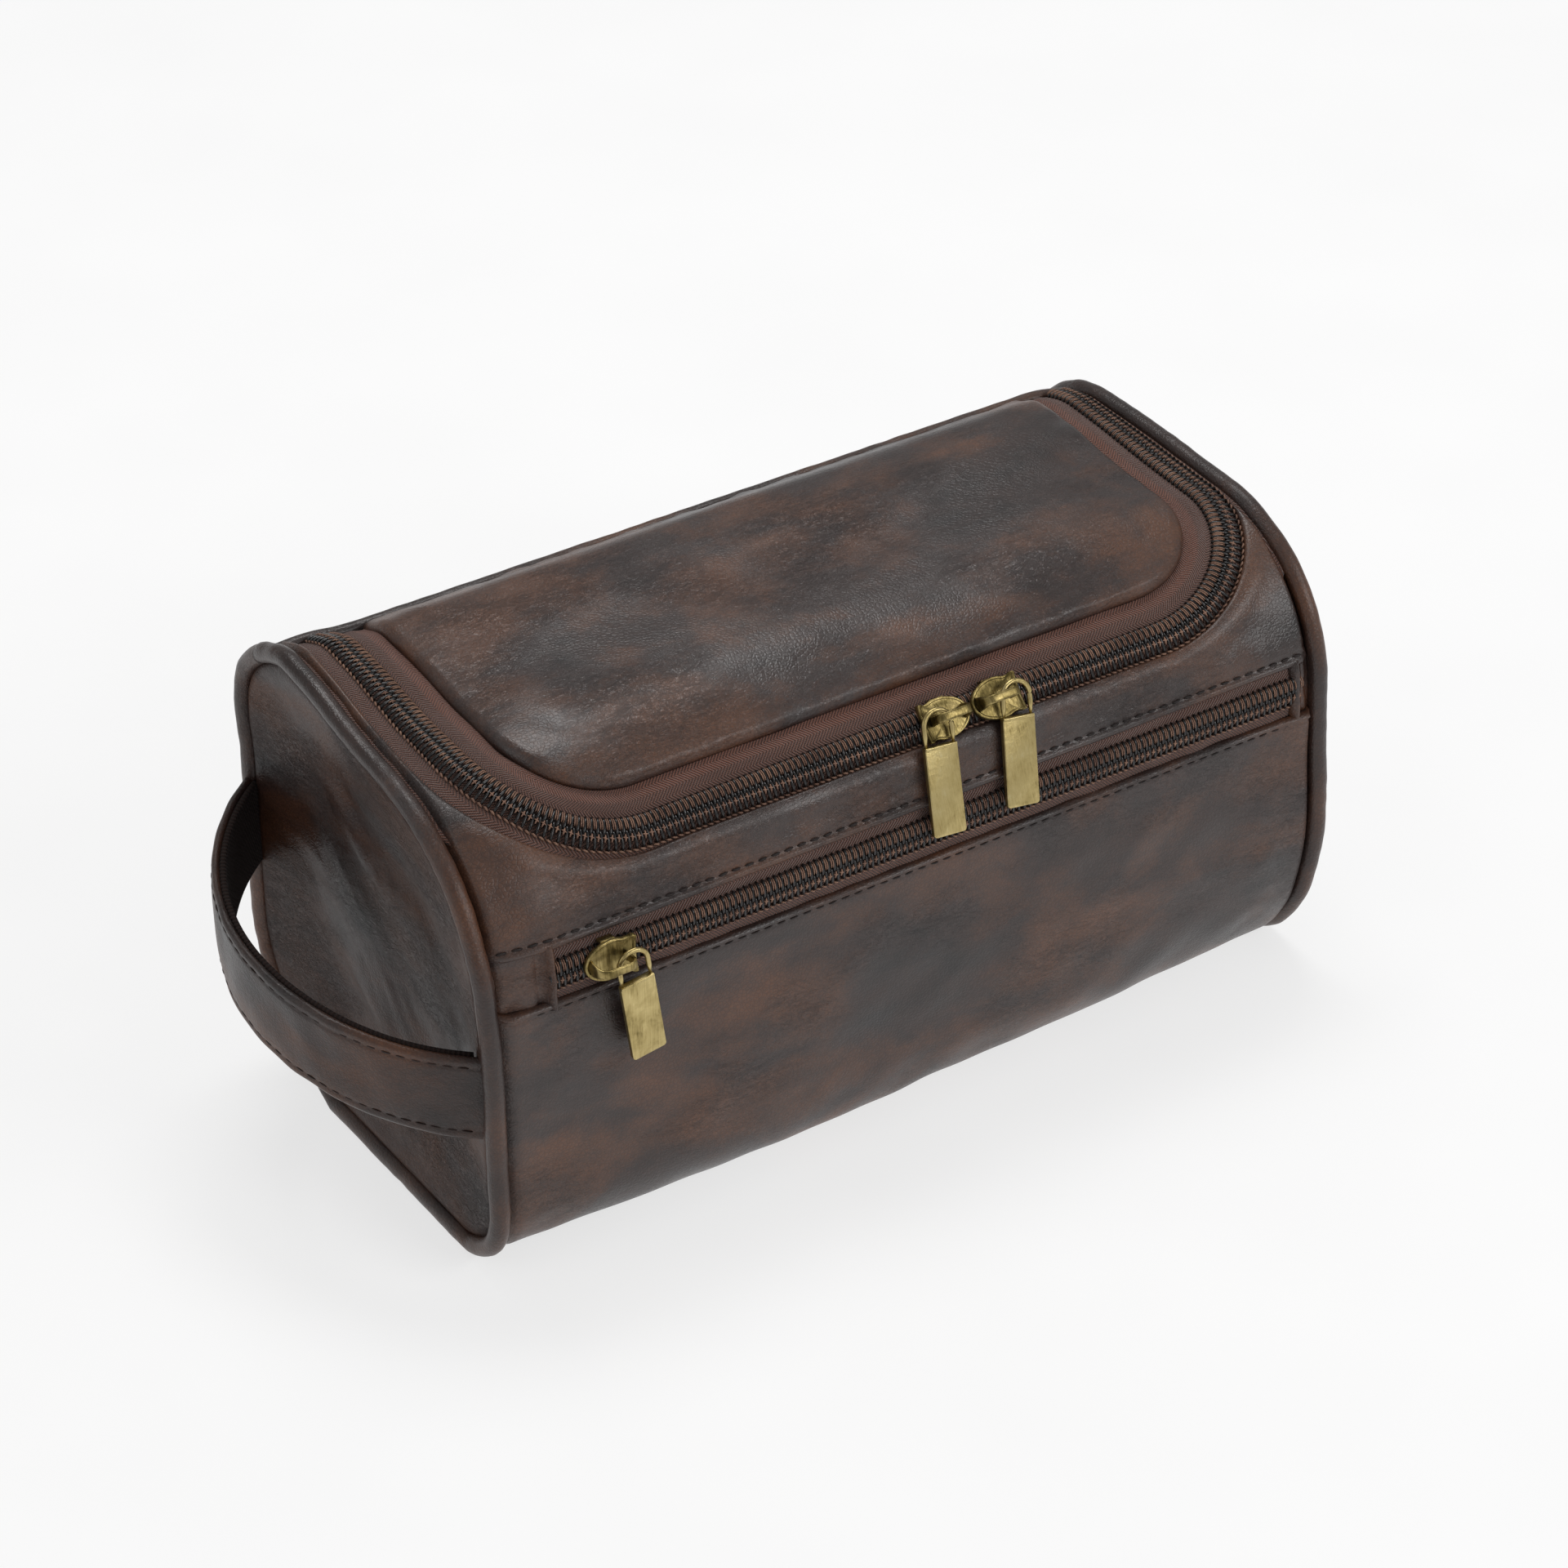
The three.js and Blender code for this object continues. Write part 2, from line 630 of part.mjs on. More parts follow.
function strapPiece(outerRadius, thickness, width, from, to) {
  const steps = Math.max(2, Math.round(Math.abs(to - from) / HANDLE_STEP));
  const sections = [];
  for (let step = 0; step <= steps; step += 1) {
    const angle = radians(from + ((to - from) * step) / steps);
    const corner = (radius, rise) => {
      const y = HANDLE_CENTRE.y + radius * Math.sin(angle);
      return new THREE.Vector3(
        HANDLE_CENTRE.x - radius * Math.cos(angle),
        y,
        HANDLE_MIDDLE_HEIGHT + HANDLE_SLOPE * y + rise,
      );
    };
    sections.push([
      corner(outerRadius - thickness, -width / 2),
      corner(outerRadius, -width / 2),
      corner(outerRadius, width / 2),
      corner(outerRadius - thickness, width / 2),
    ]);
  }
  return loft(sections);
}

function placeHandle() {
  const reach = HANDLE_MOVING_ANGLE;
  place(
    "handle_strap",
    strapPiece(HANDLE_RADIUS, HANDLE_LEATHER, HANDLE_WIDTH, -reach, reach),
    LEATHER_FINISH,
  );
  place(
    "handle_webbing",
    strapPiece(
      HANDLE_RADIUS - HANDLE_LEATHER - HANDLE_LAYER_GAP, HANDLE_WEBBING,
      HANDLE_WIDTH - 2 * WEBBING_INSET, -WEBBING_END_ANGLE, WEBBING_END_ANGLE,
    ),
    WEBBING_FINISH,
  );
  const face = BAG_LENGTH / 2 - END_PANEL_RECESS + SEAM_GAP;
  const behindFace = solid(box(-face, 0, -BAG_DEPTH, BAG_DEPTH, 0, REAR_TOP_HEIGHT));
  const sewn = (name, side) => {
    const whole = solid(strapPiece(
      HANDLE_RADIUS, HANDLE_LEATHER, HANDLE_WIDTH,
      side > 0 ? reach + END_GAP_ANGLE : -HANDLE_END_ANGLE,
      side > 0 ? HANDLE_END_ANGLE : -reach - END_GAP_ANGLE,
    ));
    place(name, geometryOf(whole.subtract(behindFace)), LEATHER_FINISH);
  };
  sewn("handle_front_end", -1);
  sewn("handle_rear_end", 1);
}

const lid = new THREE.Group();
bag.add(lid);
placeLeather();
placePocketZip();
placeMainZip(lid);
placeLid(lid);
placeLinings();
placeSlider("left_slider", LEFT_SLIDER_X, zipFront, -1, MAIN_TAB_TILT, false);
placeSlider("right_slider", RIGHT_SLIDER_X, zipFront, 1, MAIN_TAB_TILT, false);
placeSlider("pocket_slider", POCKET_SLIDER_X, pocketZip, 1, POCKET_TAB_TILT, true);
placeHandle();

export default bag;
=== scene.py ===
import math

import bmesh
import bpy
import numpy as np
from mathutils import Matrix, Vector


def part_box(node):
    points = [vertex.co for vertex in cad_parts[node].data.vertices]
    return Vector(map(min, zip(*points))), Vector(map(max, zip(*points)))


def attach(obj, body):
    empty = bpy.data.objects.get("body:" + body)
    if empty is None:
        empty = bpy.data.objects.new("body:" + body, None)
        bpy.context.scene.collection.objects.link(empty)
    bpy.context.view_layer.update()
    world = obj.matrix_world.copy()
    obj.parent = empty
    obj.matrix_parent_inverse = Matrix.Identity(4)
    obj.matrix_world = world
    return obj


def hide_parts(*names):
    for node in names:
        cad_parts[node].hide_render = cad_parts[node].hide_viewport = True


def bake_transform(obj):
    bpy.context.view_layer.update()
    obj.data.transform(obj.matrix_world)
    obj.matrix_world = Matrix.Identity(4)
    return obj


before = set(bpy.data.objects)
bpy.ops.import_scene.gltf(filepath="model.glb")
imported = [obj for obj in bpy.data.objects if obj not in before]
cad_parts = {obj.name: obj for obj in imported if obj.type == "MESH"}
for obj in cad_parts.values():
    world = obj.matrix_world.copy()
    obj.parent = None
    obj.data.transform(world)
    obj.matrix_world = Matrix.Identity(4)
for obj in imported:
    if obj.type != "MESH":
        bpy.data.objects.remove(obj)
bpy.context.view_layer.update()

# Sizes are in millimetres until a mesh is made. x runs along the bag, u is the length along the
# outline from the lid's hinge line forward over the top, down the front, under the base and up
# the back, and height stands out of the leather's surface.

MM = 0.001
RNG_SEED = 7


def mm_box(node):
    low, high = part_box(node)
    return np.array(low) / MM, np.array(high) / MM


# ---- The outline, as in the CAD

HINGE_ANGLE = 64.3
REAR_TOP = (33.5, 102.0, 30.0)
FRONT_SHOULDER = (-17.5, 84.0, 46.0)
FRONT_BOTTOM = (-39.5, 24.0, 24.0)
REAR_BOTTOM = (17.5, 46.0, 46.0)

PIPING_RADIUS = 2.8
PIPING_X = mm_box("right_piping")[1][0] - PIPING_RADIUS
PIPING_DEPTH = 1.5
PANEL_END = PIPING_X - 1.0  # where the leather dives under the piping
GROOVE_X = PIPING_X - PIPING_RADIUS

SEAM_GAP = 0.4
TAPE_DEPTH = 1.7
LINING_DEPTH = 4.9
TAPE_WIDTH = 17.0
COIL_EDGE = 4.2
ZIP_START = 3.0
ZIP_CORNER = 38.0
ZIP_LOW, ZIP_HIGH = mm_box("main_zip_outer_coil")
ZIP_LEFT = ZIP_LOW[0] + COIL_EDGE
ZIP_RIGHT = ZIP_HIGH[0] - COIL_EDGE
FRONT_EDGE = 4.8
LEFT_TAPE_SHOWN = 4.6
LID_EDGE = 11.7
ZIP_FRONT_Z = 113.5
POCKET_FOLD_Z = 95.5
POCKET_ZIP_Z = 88.5
POCKET_EDGE_Z = 81.0
POCKET_LEFT = mm_box("pocket_zip_left_cover")[1][0]
POCKET_RIGHT = mm_box("pocket_zip_right_cover")[0][0]


def make_outline():
    """The closed outline as dense rows of u, y, z and the outward normal's y and z."""
    rows = []
    start = 0.0
    for corner, a0, a1 in (
        (REAR_TOP, HINGE_ANGLE, 90), (FRONT_SHOULDER, 90, 180), (FRONT_BOTTOM, 180, 270),
        (REAR_BOTTOM, 270, 360), (REAR_TOP, 0, HINGE_ANGLE),
    ):
        cy, cz, radius = corner
        angles = np.radians(np.linspace(a0, a1, 2 + int((a1 - a0) * 2)))
        y, z = cy + radius * np.cos(angles), cz + radius * np.sin(angles)
        if rows:
            start += math.dist((y[0], z[0]), rows[-1][-1][1:3])
        us = start + radius * (angles - angles[0])
        rows.append(np.stack([us, y, z, np.cos(angles), np.sin(angles)], -1))
        start = us[-1]
    table = np.concatenate(rows)
    keep = np.concatenate([[True], np.diff(table[:, 0]) > 1e-6])
    return table[keep], start


OUTLINE, GIRTH = make_outline()


def outline(u):
    u = np.mod(u, GIRTH)
    y, z, ny, nz = (np.interp(u, OUTLINE[:, 0], column) for column in OUTLINE.T[1:])
    length = np.hypot(ny, nz)
    return y, z, ny / length, nz / length


def front_at(height):
    """u of a height on the front, on the shoulder or on the flat below it."""
    cy, cz, radius = FRONT_SHOULDER
    top = math.radians(90 - HINGE_ANGLE) * REAR_TOP[2]
    top += math.hypot(REAR_TOP[0] - cy, REAR_TOP[1] + REAR_TOP[2] - cz - radius)
    shoulder_end = top + math.pi / 2 * radius
    above = height - cz
    if above < 0:
        return shoulder_end - above
    return shoulder_end - radius * math.asin(above / radius)


ZIP_FRONT = front_at(ZIP_FRONT_Z)
POCKET_FOLD = front_at(POCKET_FOLD_Z)
POCKET_ZIP = front_at(POCKET_ZIP_Z)
POCKET_EDGE = front_at(POCKET_EDGE_Z)
FLAT_END = front_at(FRONT_BOTTOM[1])
BOTTOM_START = FLAT_END + math.pi / 2 * FRONT_BOTTOM[2]
BOTTOM_END = BOTTOM_START + REAR_BOTTOM[0] - FRONT_BOTTOM[0]


def step(v, low, high):
    """Smooth from 0 at low to 1 at high."""
    t = np.clip((v - low) / (high - low), 0, 1)
    return t * t * (3 - 2 * t)


def bump(v, centre, width):
    return np.exp(-(((v - centre) / width) ** 2))


def swell(x, u):
    """How far the full bag stands out of the straight CAD surface: the front bellies, the crest
    of the lid rises, and the left end's ring is drawn in over the shoulder and down the back."""
    u = np.mod(u, GIRTH)
    front = step(u, POCKET_ZIP, POCKET_ZIP + 45) * (1 - step(u, FLAT_END + 12, BOTTOM_START - 1))
    low_right = step(x, 20, 125) * step(u, FLAT_END - 20, FLAT_END + 10)
    belly = 3.2 * front * step(x, -128, -40) * (1 - 0.7 * low_right)
    shoulder = step(u, 30, 95) * (1 - step(u, 112, 165))
    drawn = -4.6 * shoulder * step(-x, 108, 130)
    back = step(u, BOTTOM_END + 25, BOTTOM_END + 75) * (1 - step(u, GIRTH - 45, GIRTH - 5))
    rear = 2.2 * back * (1 - step(np.abs(x), 40, 128))
    slack = step(u, BOTTOM_END - 4, BOTTOM_END + 22) * (1 - step(u, GIRTH - 42, GIRTH - 10))
    inset = -(4.0 + 2.2 * bump(u, BOTTOM_END + 28, 24)) * slack * step(-x, 92, 130)
    across = np.mod(u + GIRTH / 2, GIRTH) - GIRTH / 2
    crest = 2.0 * step(across, 3, 16) * (1 - step(across, 24, 52)) * (1 - step(x, 95, 130))
    corners = 2.6 * bump(across, 9, 24) * step(-x, 101, 125)
    corners = corners - 1.3 * bump(across, 10, 20) * step(x, 112, 130)
    low = bump(u, FLAT_END + 13, 13)
    hem = low * (1.2 * step(-x, 20, 95) - 0.9 * step(x, -20, 60) - 1.4 * step(x, 100, 130))
    return belly + drawn + rear + inset + crest + corners + hem


def bow(x, u):
    """How far the right end stands out beyond its CAD plane, at the height of the pocket."""
    u = np.mod(u, GIRTH)
    return 1.5 * step(x, 60, 130) * step(u, 60, 110) * (1 - step(u, FLAT_END - 25, FLAT_END + 14))


def skin(x, u, height):
    """Points on the bag, in millimetres."""
    x, u, height = np.broadcast_arrays(*(np.asarray(v, float) for v in (x, u, height)))
    y, z, ny, nz = outline(u)
    h = height + swell(x, u)
    return np.stack([x + bow(x, u), y + ny * h, z + nz * h], -1)


def ripple(a, b, wavelength, seed, stretch=1.0):
    """Smooth random waves over a and b with a mean square of one. stretch lengthens them along a."""
    rng = np.random.default_rng(RNG_SEED + seed)
    count = 14
    total = 0.0
    for _ in range(count):
        angle = rng.uniform(0, 2 * math.pi)
        k = 2 * math.pi / wavelength * rng.uniform(0.6, 1.5)
        phase = rng.uniform(0, 2 * math.pi)
        total = total + np.cos(k * (a * math.cos(angle) / stretch + b * math.sin(angle)) + phase)
    return total / math.sqrt(count / 2)


# ---- Meshes


def link(name, data):
    made = bpy.data.objects.new(name, data)
    bpy.context.scene.collection.objects.link(made)
    return made


def make(name, points, faces, material, flow=None):
    """A mesh object from points in millimetres. flow is each point's place on its own sheet."""
    mesh = bpy.data.meshes.new(name)
    mesh.from_pydata((np.asarray(points) * MM).tolist(), [], faces)
    mesh.update()
    if flow is not None:
        attribute = mesh.attributes.new("flow", "FLOAT_VECTOR", "POINT")
        attribute.data.foreach_set("vector", np.asarray(flow, np.float32).ravel())
    bm = bmesh.new()
    bm.from_mesh(mesh)
    bmesh.ops.remove_doubles(bm, verts=bm.verts, dist=2e-6)
    bmesh.ops.recalc_face_normals(bm, faces=bm.faces)
    bm.to_mesh(mesh)
    bm.free()
    mesh.polygons.foreach_set("use_smooth", [True] * len(mesh.polygons))
    mesh.materials.append(material)
    return link(name, mesh)


def place(piece, body=None, blend=None, replaces=()):
    if body:
        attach(piece, body)
    if blend:
        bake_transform(piece)
    if replaces:
        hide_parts(*replaces)
    return piece


def grid_faces(rows, columns, offset, wrap):
    """Quads of a grid of points. wrap joins the last row to the first."""
    i = np.arange(rows if wrap else rows - 1)[:, None]
    j = np.arange(columns - 1)[None, :]
    after = (i + 1) % rows
    a, b = i * columns + j, after * columns + j
    quads = np.stack([a, a + 1, b + 1, b], -1)
    return (quads.reshape(-1, 4) + offset).tolist()


def skinned(rows, sides, closed=False):
    """Faces of a tube of rows of points. closed joins its ends, which are capped otherwise."""
    faces = []
    for i in range(rows if closed else rows - 1):
        a, b = i * sides, (i + 1) % rows * sides
        faces += [[a + j, a + (j + 1) % sides, b + (j + 1) % sides, b + j] for j in range(sides)]
    if not closed:
        faces += [list(range(sides)), [(rows - 1) * sides + j for j in range(sides)][::-1]]
    return faces


def shell(name, x, u, top, bottom, material, wrap=False, flow=None):
    """A closed sheet over a grid of x and u, between two heights."""
    x, u, top, bottom = np.broadcast_arrays(x, u, top, bottom)
    flow = np.stack([x, u, top], -1) if flow is None else flow
    return solid_sheet(name, skin(x, u, top), skin(x, u, bottom), material, wrap, flow)


def solid_sheet(name, upper, lower, material, wrap, flow):
    """Two grids of points joined round their rim. With wrap their last column is one point."""
    rows, columns = upper.shape[:2]
    count = rows * columns
    faces = grid_faces(rows, columns, 0, wrap) + grid_faces(rows, columns, count, wrap)
    if wrap:
        edges = [(i * columns, (i + 1) % rows * columns) for i in range(rows)]
    else:
        last = columns - 1
        edges = [(i * columns + j, (i + 1) * columns + j) for i in range(rows - 1) for j in (0, last)]
        edges += [(i * columns + j, i * columns + j + 1) for i in (0, rows - 1) for j in range(last)]
    faces += [[a, b, b + count, a + count] for a, b in edges]
    points = np.concatenate([upper.reshape(-1, 3), lower.reshape(-1, 3)])
    return make(name, points, faces, material, np.concatenate([flow.reshape(-1, 3)] * 2))


def spread(low, high, pitch, fine=0.0):
    """Stations from low to high, closer over the first fine millimetres, where an edge rolls."""
    parts = [np.arange(low + fine, high, pitch), [high]]
    if fine:
        parts.append(low + fine * np.array([0.0, 0.12, 0.3, 0.55, 0.85, 1.0]))
    return np.unique(np.round(np.concatenate(parts), 4))


def rolled(distance, radius):
    """Height of a turned-under edge, below the flat, at a distance from it."""
    inside = np.clip(radius - distance, 0, radius)
    return np.sqrt(np.maximum(radius**2 - inside**2, 0)) - radius


def tubes(name, paths, radius, sides, material):
    """Many short round bars with closed ends: paths has the shape (count, steps, 3)."""
    paths = np.asarray(paths, float)
    count, steps = paths.shape[:2]
    along = np.gradient(paths, axis=1)
    along /= np.linalg.norm(along, axis=-1, keepdims=True)
    chord = paths[:, -1] - paths[:, 0]
    helper = np.where(np.abs(chord[:, :1]) > np.linalg.norm(chord[:, 1:], axis=-1, keepdims=True),
                      [[0.0, 0.3, 1.0]], [[1.0, 0.0, 0.0]])[:, None, :]
    side = np.cross(along, np.broadcast_to(helper, along.shape))
    side /= np.linalg.norm(side, axis=-1, keepdims=True)
    up = np.cross(side, along)
    taper = np.ones(steps)
    taper[[0, -1]] = 0.45
    radii = np.broadcast_to(np.asarray(radius, float), (steps,)) * taper
    angle = np.arange(sides) / sides * 2 * math.pi
    ring = (side[:, :, None] * np.cos(angle)[:, None] + up[:, :, None] * np.sin(angle)[:, None])
    points = paths[:, :, None] + ring * radii[None, :, None, None]
    size = steps * sides
    one = skinned(steps, sides)
    faces = [[v + c * size for v in f] for c in range(count) for f in one]
    return make(name, points.reshape(-1, 3), faces, material)


def hoop(name, centres, out, across, radii, material, closed=True, sides=16):
    """A round tube along a path, with its section in the plane of out and across."""
    angle = np.arange(sides) / sides * 2 * math.pi
    points = (centres[:, None] + radii[:, None, None]
              * (across[:, None] * np.cos(angle)[:, None] + out[:, None] * np.sin(angle)[:, None]))
    run = np.concatenate([[0], np.cumsum(np.linalg.norm(np.diff(centres, axis=0), axis=1))])
    flow = np.stack(np.broadcast_arrays(run[:, None], angle[None] * radii.mean(), 0.0), -1)
    return make(name, points.reshape(-1, 3), skinned(len(centres), sides, closed), material,
                flow.reshape(-1, 3))


# ---- Materials


def srgb(r, g, b):
    linear = [(v / 255 / 12.92) if v <= 10 else ((v / 255 + 0.055) / 1.055) ** 2.4 for v in (r, g, b)]
    return (*linear, 1.0)


class Nodes:
    """Short names for the shader nodes that the materials use."""

    def __init__(self, name):
        self.material = bpy.data.materials.new(name)
        self.material.use_nodes = True
        self.tree = self.material.node_tree
        self.shader = self.tree.nodes["Principled BSDF"]

    def new(self, kind, inputs, **settings):
        node = self.tree.nodes.new("ShaderNode" + kind)
        for key, value in settings.items():
            setattr(node, key, value)
        for key, value in inputs.items():
            self.feed(node.inputs[key], value)
        return node.outputs

    def feed(self, socket, value):
        if isinstance(value, bpy.types.NodeSocket):
            self.tree.links.new(value, socket)
        else:
            socket.default_value = value

    def flow(self):
        return self.new("Attribute", {}, attribute_name="flow")["Vector"]

    def place(self):
        return self.new("TexCoord", {})["Object"]

    def scaled(self, vector, scale, turn=0.0):
        inputs = {"Vector": vector, "Scale": scale, "Rotation": (0, 0, turn)}
        return self.new("Mapping", inputs)["Vector"]

    def noise(self, vector, scale, detail=4.0, roughness=0.55, distortion=0.0, turn=0.0):
        """scale is one number, or one for each axis."""
        if isinstance(scale, tuple):
            vector, scale = self.scaled(vector, scale, turn), 1.0
        inputs = {"Vector": vector, "Scale": scale, "Detail": detail, "Roughness": roughness,
                  "Distortion": distortion}
        return self.new("TexNoise", inputs)["Fac"]

    def cells(self, vector):
        """Distance to the nearest border of random cells, one to a unit."""
        inputs = {"Vector": vector, "Scale": 1.0}
        return self.new("TexVoronoi", inputs, feature="DISTANCE_TO_EDGE")["Distance"]

    def parts(self, vector):
        return self.new("SeparateXYZ", {0: vector})

    def math(self, operation, a, b=0.0):
        return self.new("Math", {0: a, 1: b}, operation=operation)[0]

    def add(self, a, b):
        return self.math("ADD", a, b)

    def sub(self, a, b):
        return self.math("SUBTRACT", a, b)

    def mul(self, a, b):
        return self.math("MULTIPLY", a, b)

    def wave(self, value, pitch):
        return self.math("SINE", self.mul(value, 2 * math.pi / pitch))

    def off_half(self, value):
        return self.math("ABSOLUTE", self.sub(value, 0.5))

    def ramp(self, value, stops):
        colour = self.new("ValToRGB", {0: value})["Color"]
        elements = colour.node.color_ramp.elements
        while len(elements) < len(stops):
            elements.new(0.5)
        for element, (at, shade) in zip(elements, stops):
            element.position = at
            element.color = shade
        return colour

    def level(self, value, low, high, at_low=0.0, at_high=1.0):
        inputs = {"Value": value, "From Min": low, "From Max": high, "To Min": at_low,
                  "To Max": at_high}
        return self.new("MapRange", inputs, clamp=True)["Result"]

    def mix(self, share, a, b):
        return self.new("Mix", {"Factor": share, 6: a, 7: b}, data_type="RGBA")[2]

    def bump(self, height, distance, normal=None, strength=1.0):
        inputs = {"Height": height, "Distance": distance, "Strength": strength}
        if normal is not None:
            inputs["Normal"] = normal
        return self.new("Bump", inputs)["Normal"]

    def set(self, **values):
        for key, value in values.items():
            self.feed(self.shader.inputs[key.replace("_", " ")], value)
        return self.material


LEATHER_DARK = srgb(25, 18, 17)
LEATHER_MID = srgb(50, 34, 29)
LEATHER_WARM = srgb(90, 56, 36)


def leather(name, warm=0.5, creases=1.0, dark=1.0, gloss=1.0):
    """Oiled leather, mottled in patches stretched along the bag, with a fine pebble and creases."""
    n = Nodes(name)
    flow = n.flow()
    patches = n.noise(flow, (0.016, 0.032, 0.03), 5.0, 0.55, 0.6)
    clouds = n.noise(flow, (0.05, 0.07, 0.07), 4.0, 0.6, 0.3)
    stipple = n.noise(flow, 0.9, 3.0, 0.6)
    tone = n.add(n.add(n.mul(patches, 0.62), n.mul(clouds, 0.3)), n.mul(stipple, 0.08))
    dark_tone = (*(v * dark for v in LEATHER_DARK[:3]), 1.0)
    colour = n.ramp(tone, [(0.36, dark_tone), (0.47, LEATHER_MID), (0.66 - 0.1 * warm, LEATHER_WARM),
                           (0.8, LEATHER_MID)])
    grain = n.level(n.cells(n.scaled(flow, (0.85, 1.0, 1.0))), 0.0, 0.22)
    lines = n.noise(flow, (0.11, 0.3, 0.2), 6.0, 0.65, 1.6, turn=0.35)
    fine = n.noise(flow, (0.5, 0.9, 0.8), 5.0, 0.7, 1.0, turn=-0.5)
    crease = n.level(n.off_half(lines), 0.0, 0.035)
    crackle = n.level(n.off_half(fine), 0.0, 0.05)
    where = n.level(n.noise(flow, (0.02, 0.03, 0.03), 2.0), 0.42, 0.62)
    colour = n.mix(n.mul(n.sub(1.0, grain), 0.35), colour, dark_tone)
    normal = n.bump(n.noise(flow, 0.25, 3.0), 0.0002)
    normal = n.bump(grain, 0.00005, normal, 0.9)
    normal = n.bump(n.mul(crackle, where), 0.00007 * creases, normal, 0.8)
    normal = n.bump(n.mul(crease, where), 0.00012 * creases, normal, 0.8)
    rough = n.level(n.add(patches, n.mul(stipple, 0.4)), 0.45, 0.95, 0.33, 0.46)
    return n.set(Base_Color=colour, Roughness=rough, Normal=normal, Specular_IOR_Level=0.55 * gloss,
                 Coat_Weight=0.3 * max(gloss - 0.5, 0), Coat_Roughness=0.25)


TAPE_ZERO = 40.0  # the main zip's middle, in the tape's own coordinate across it


def tape(name, base, shade):
    """Woven zip tape: twill ribs that turn back at each stripe, as herringbone does."""
    n = Nodes(name)
    flow = n.flow()
    along, across = n.parts(flow)[:2]
    zigzag = n.math("PINGPONG", across, 2.3)
    rib = n.wave(n.add(along, zigzag), 0.95)
    weft = n.wave(n.sub(along, n.mul(zigzag, 1.6)), 0.7)
    weave = n.add(n.mul(rib, 0.6), n.mul(weft, 0.25))
    fuzz = n.noise(flow, 2.4, 4.0, 0.7)
    share = n.level(n.add(weave, n.mul(fuzz, 0.9)), -0.35, 1.1)
    wash = n.level(n.noise(flow, (0.05, 0.2, 0.2), 3.0), 0.35, 0.7, 0.0, 0.35)
    colour = n.mix(wash, n.mix(share, shade, base), srgb(70, 44, 36))
    redder = n.level(across, TAPE_ZERO - 8.6, TAPE_ZERO - 7.4, 0.5, 0.0)
    colour = n.mix(redder, colour, n.mix(share, srgb(72, 38, 28), srgb(150, 92, 70)))
    normal = n.bump(fuzz, 0.00008, n.bump(weave, 0.00024))
    return n.set(Base_Color=colour, Roughness=0.88, Normal=normal, Specular_IOR_Level=0.25,
                 Sheen_Weight=0.25, Sheen_Roughness=0.5)


def cloth(name, base, shade, pitch, sheen=0.3):
    """Plain weave: crossed sine ribs, with slubs."""
    n = Nodes(name)
    flow = n.flow()
    along, across = n.parts(flow)[:2]
    weave = n.mul(n.wave(along, pitch), n.wave(across, pitch))
    slub = n.noise(flow, (0.15, 1.2, 1.0), 4.0, 0.6)
    share = n.level(n.add(weave, n.mul(slub, 1.5)), -0.4, 1.8)
    normal = n.bump(slub, 0.0002, n.bump(weave, 0.00015))
    return n.set(Base_Color=n.mix(share, shade, base), Roughness=0.85, Normal=normal,
                 Specular_IOR_Level=0.2, Sheen_Weight=sheen, Sheen_Roughness=0.5)


def thread(name, base, shade):
    n = Nodes(name)
    spot = n.place()
    twist = n.noise(spot, 3000, 3.0)
    colour = n.mix(n.level(n.add(twist, n.noise(spot, 60, 3.0)), 0.7, 1.3), shade, base)
    return n.set(Base_Color=colour, Roughness=0.6, Normal=n.bump(twist, 0.00005),
                 Specular_IOR_Level=0.35)


def brass(name, patina=0.0):
    """Antique brass: brushed, with brown patina in patches and bright rubbed places."""
    n = Nodes(name)
    spot = n.place()
    patches = n.noise(spot, 170, 5.0, 0.6, 0.4)
    brush = n.noise(spot, (2600, 900, 160), 4.0, 0.65)
    mixed = n.sub(n.add(n.mul(patches, 0.6), n.mul(brush, 0.4)), patina)
    colour = n.ramp(mixed, [
        (0.2, srgb(70, 60, 34)), (0.32, srgb(116, 102, 62)), (0.45, srgb(170, 152, 102)),
        (0.6, srgb(194, 176, 124)), (0.72, srgb(216, 202, 156)),
    ])
    normal = n.bump(n.noise(spot, 900, 2.0), 0.00004, n.bump(brush, 0.00003))
    return n.set(Base_Color=colour, Metallic=1.0, Roughness=n.level(mixed, 0.35, 0.65, 0.4, 0.28),
                 Normal=normal)


def nylon(name):
    n = Nodes(name)
    speck = n.noise(n.place(), 500, 3.0)
    colour = n.ramp(speck, [(0.35, srgb(12, 10, 10)), (0.7, srgb(26, 22, 21))])
    return n.set(Base_Color=colour, Roughness=n.level(speck, 0.3, 0.7, 0.22, 0.34),
                 Normal=n.bump(speck, 0.00003))


def crumb(name, base, shade, scale):
    """Foam or fibre board: open grains."""
    n = Nodes(name)
    grains = n.noise(n.place(), scale, 5.0, 0.7)
    return n.set(Base_Color=n.mix(n.level(grains, 0.35, 0.65), shade, base), Roughness=0.95,
                 Normal=n.bump(grains, 0.0003))


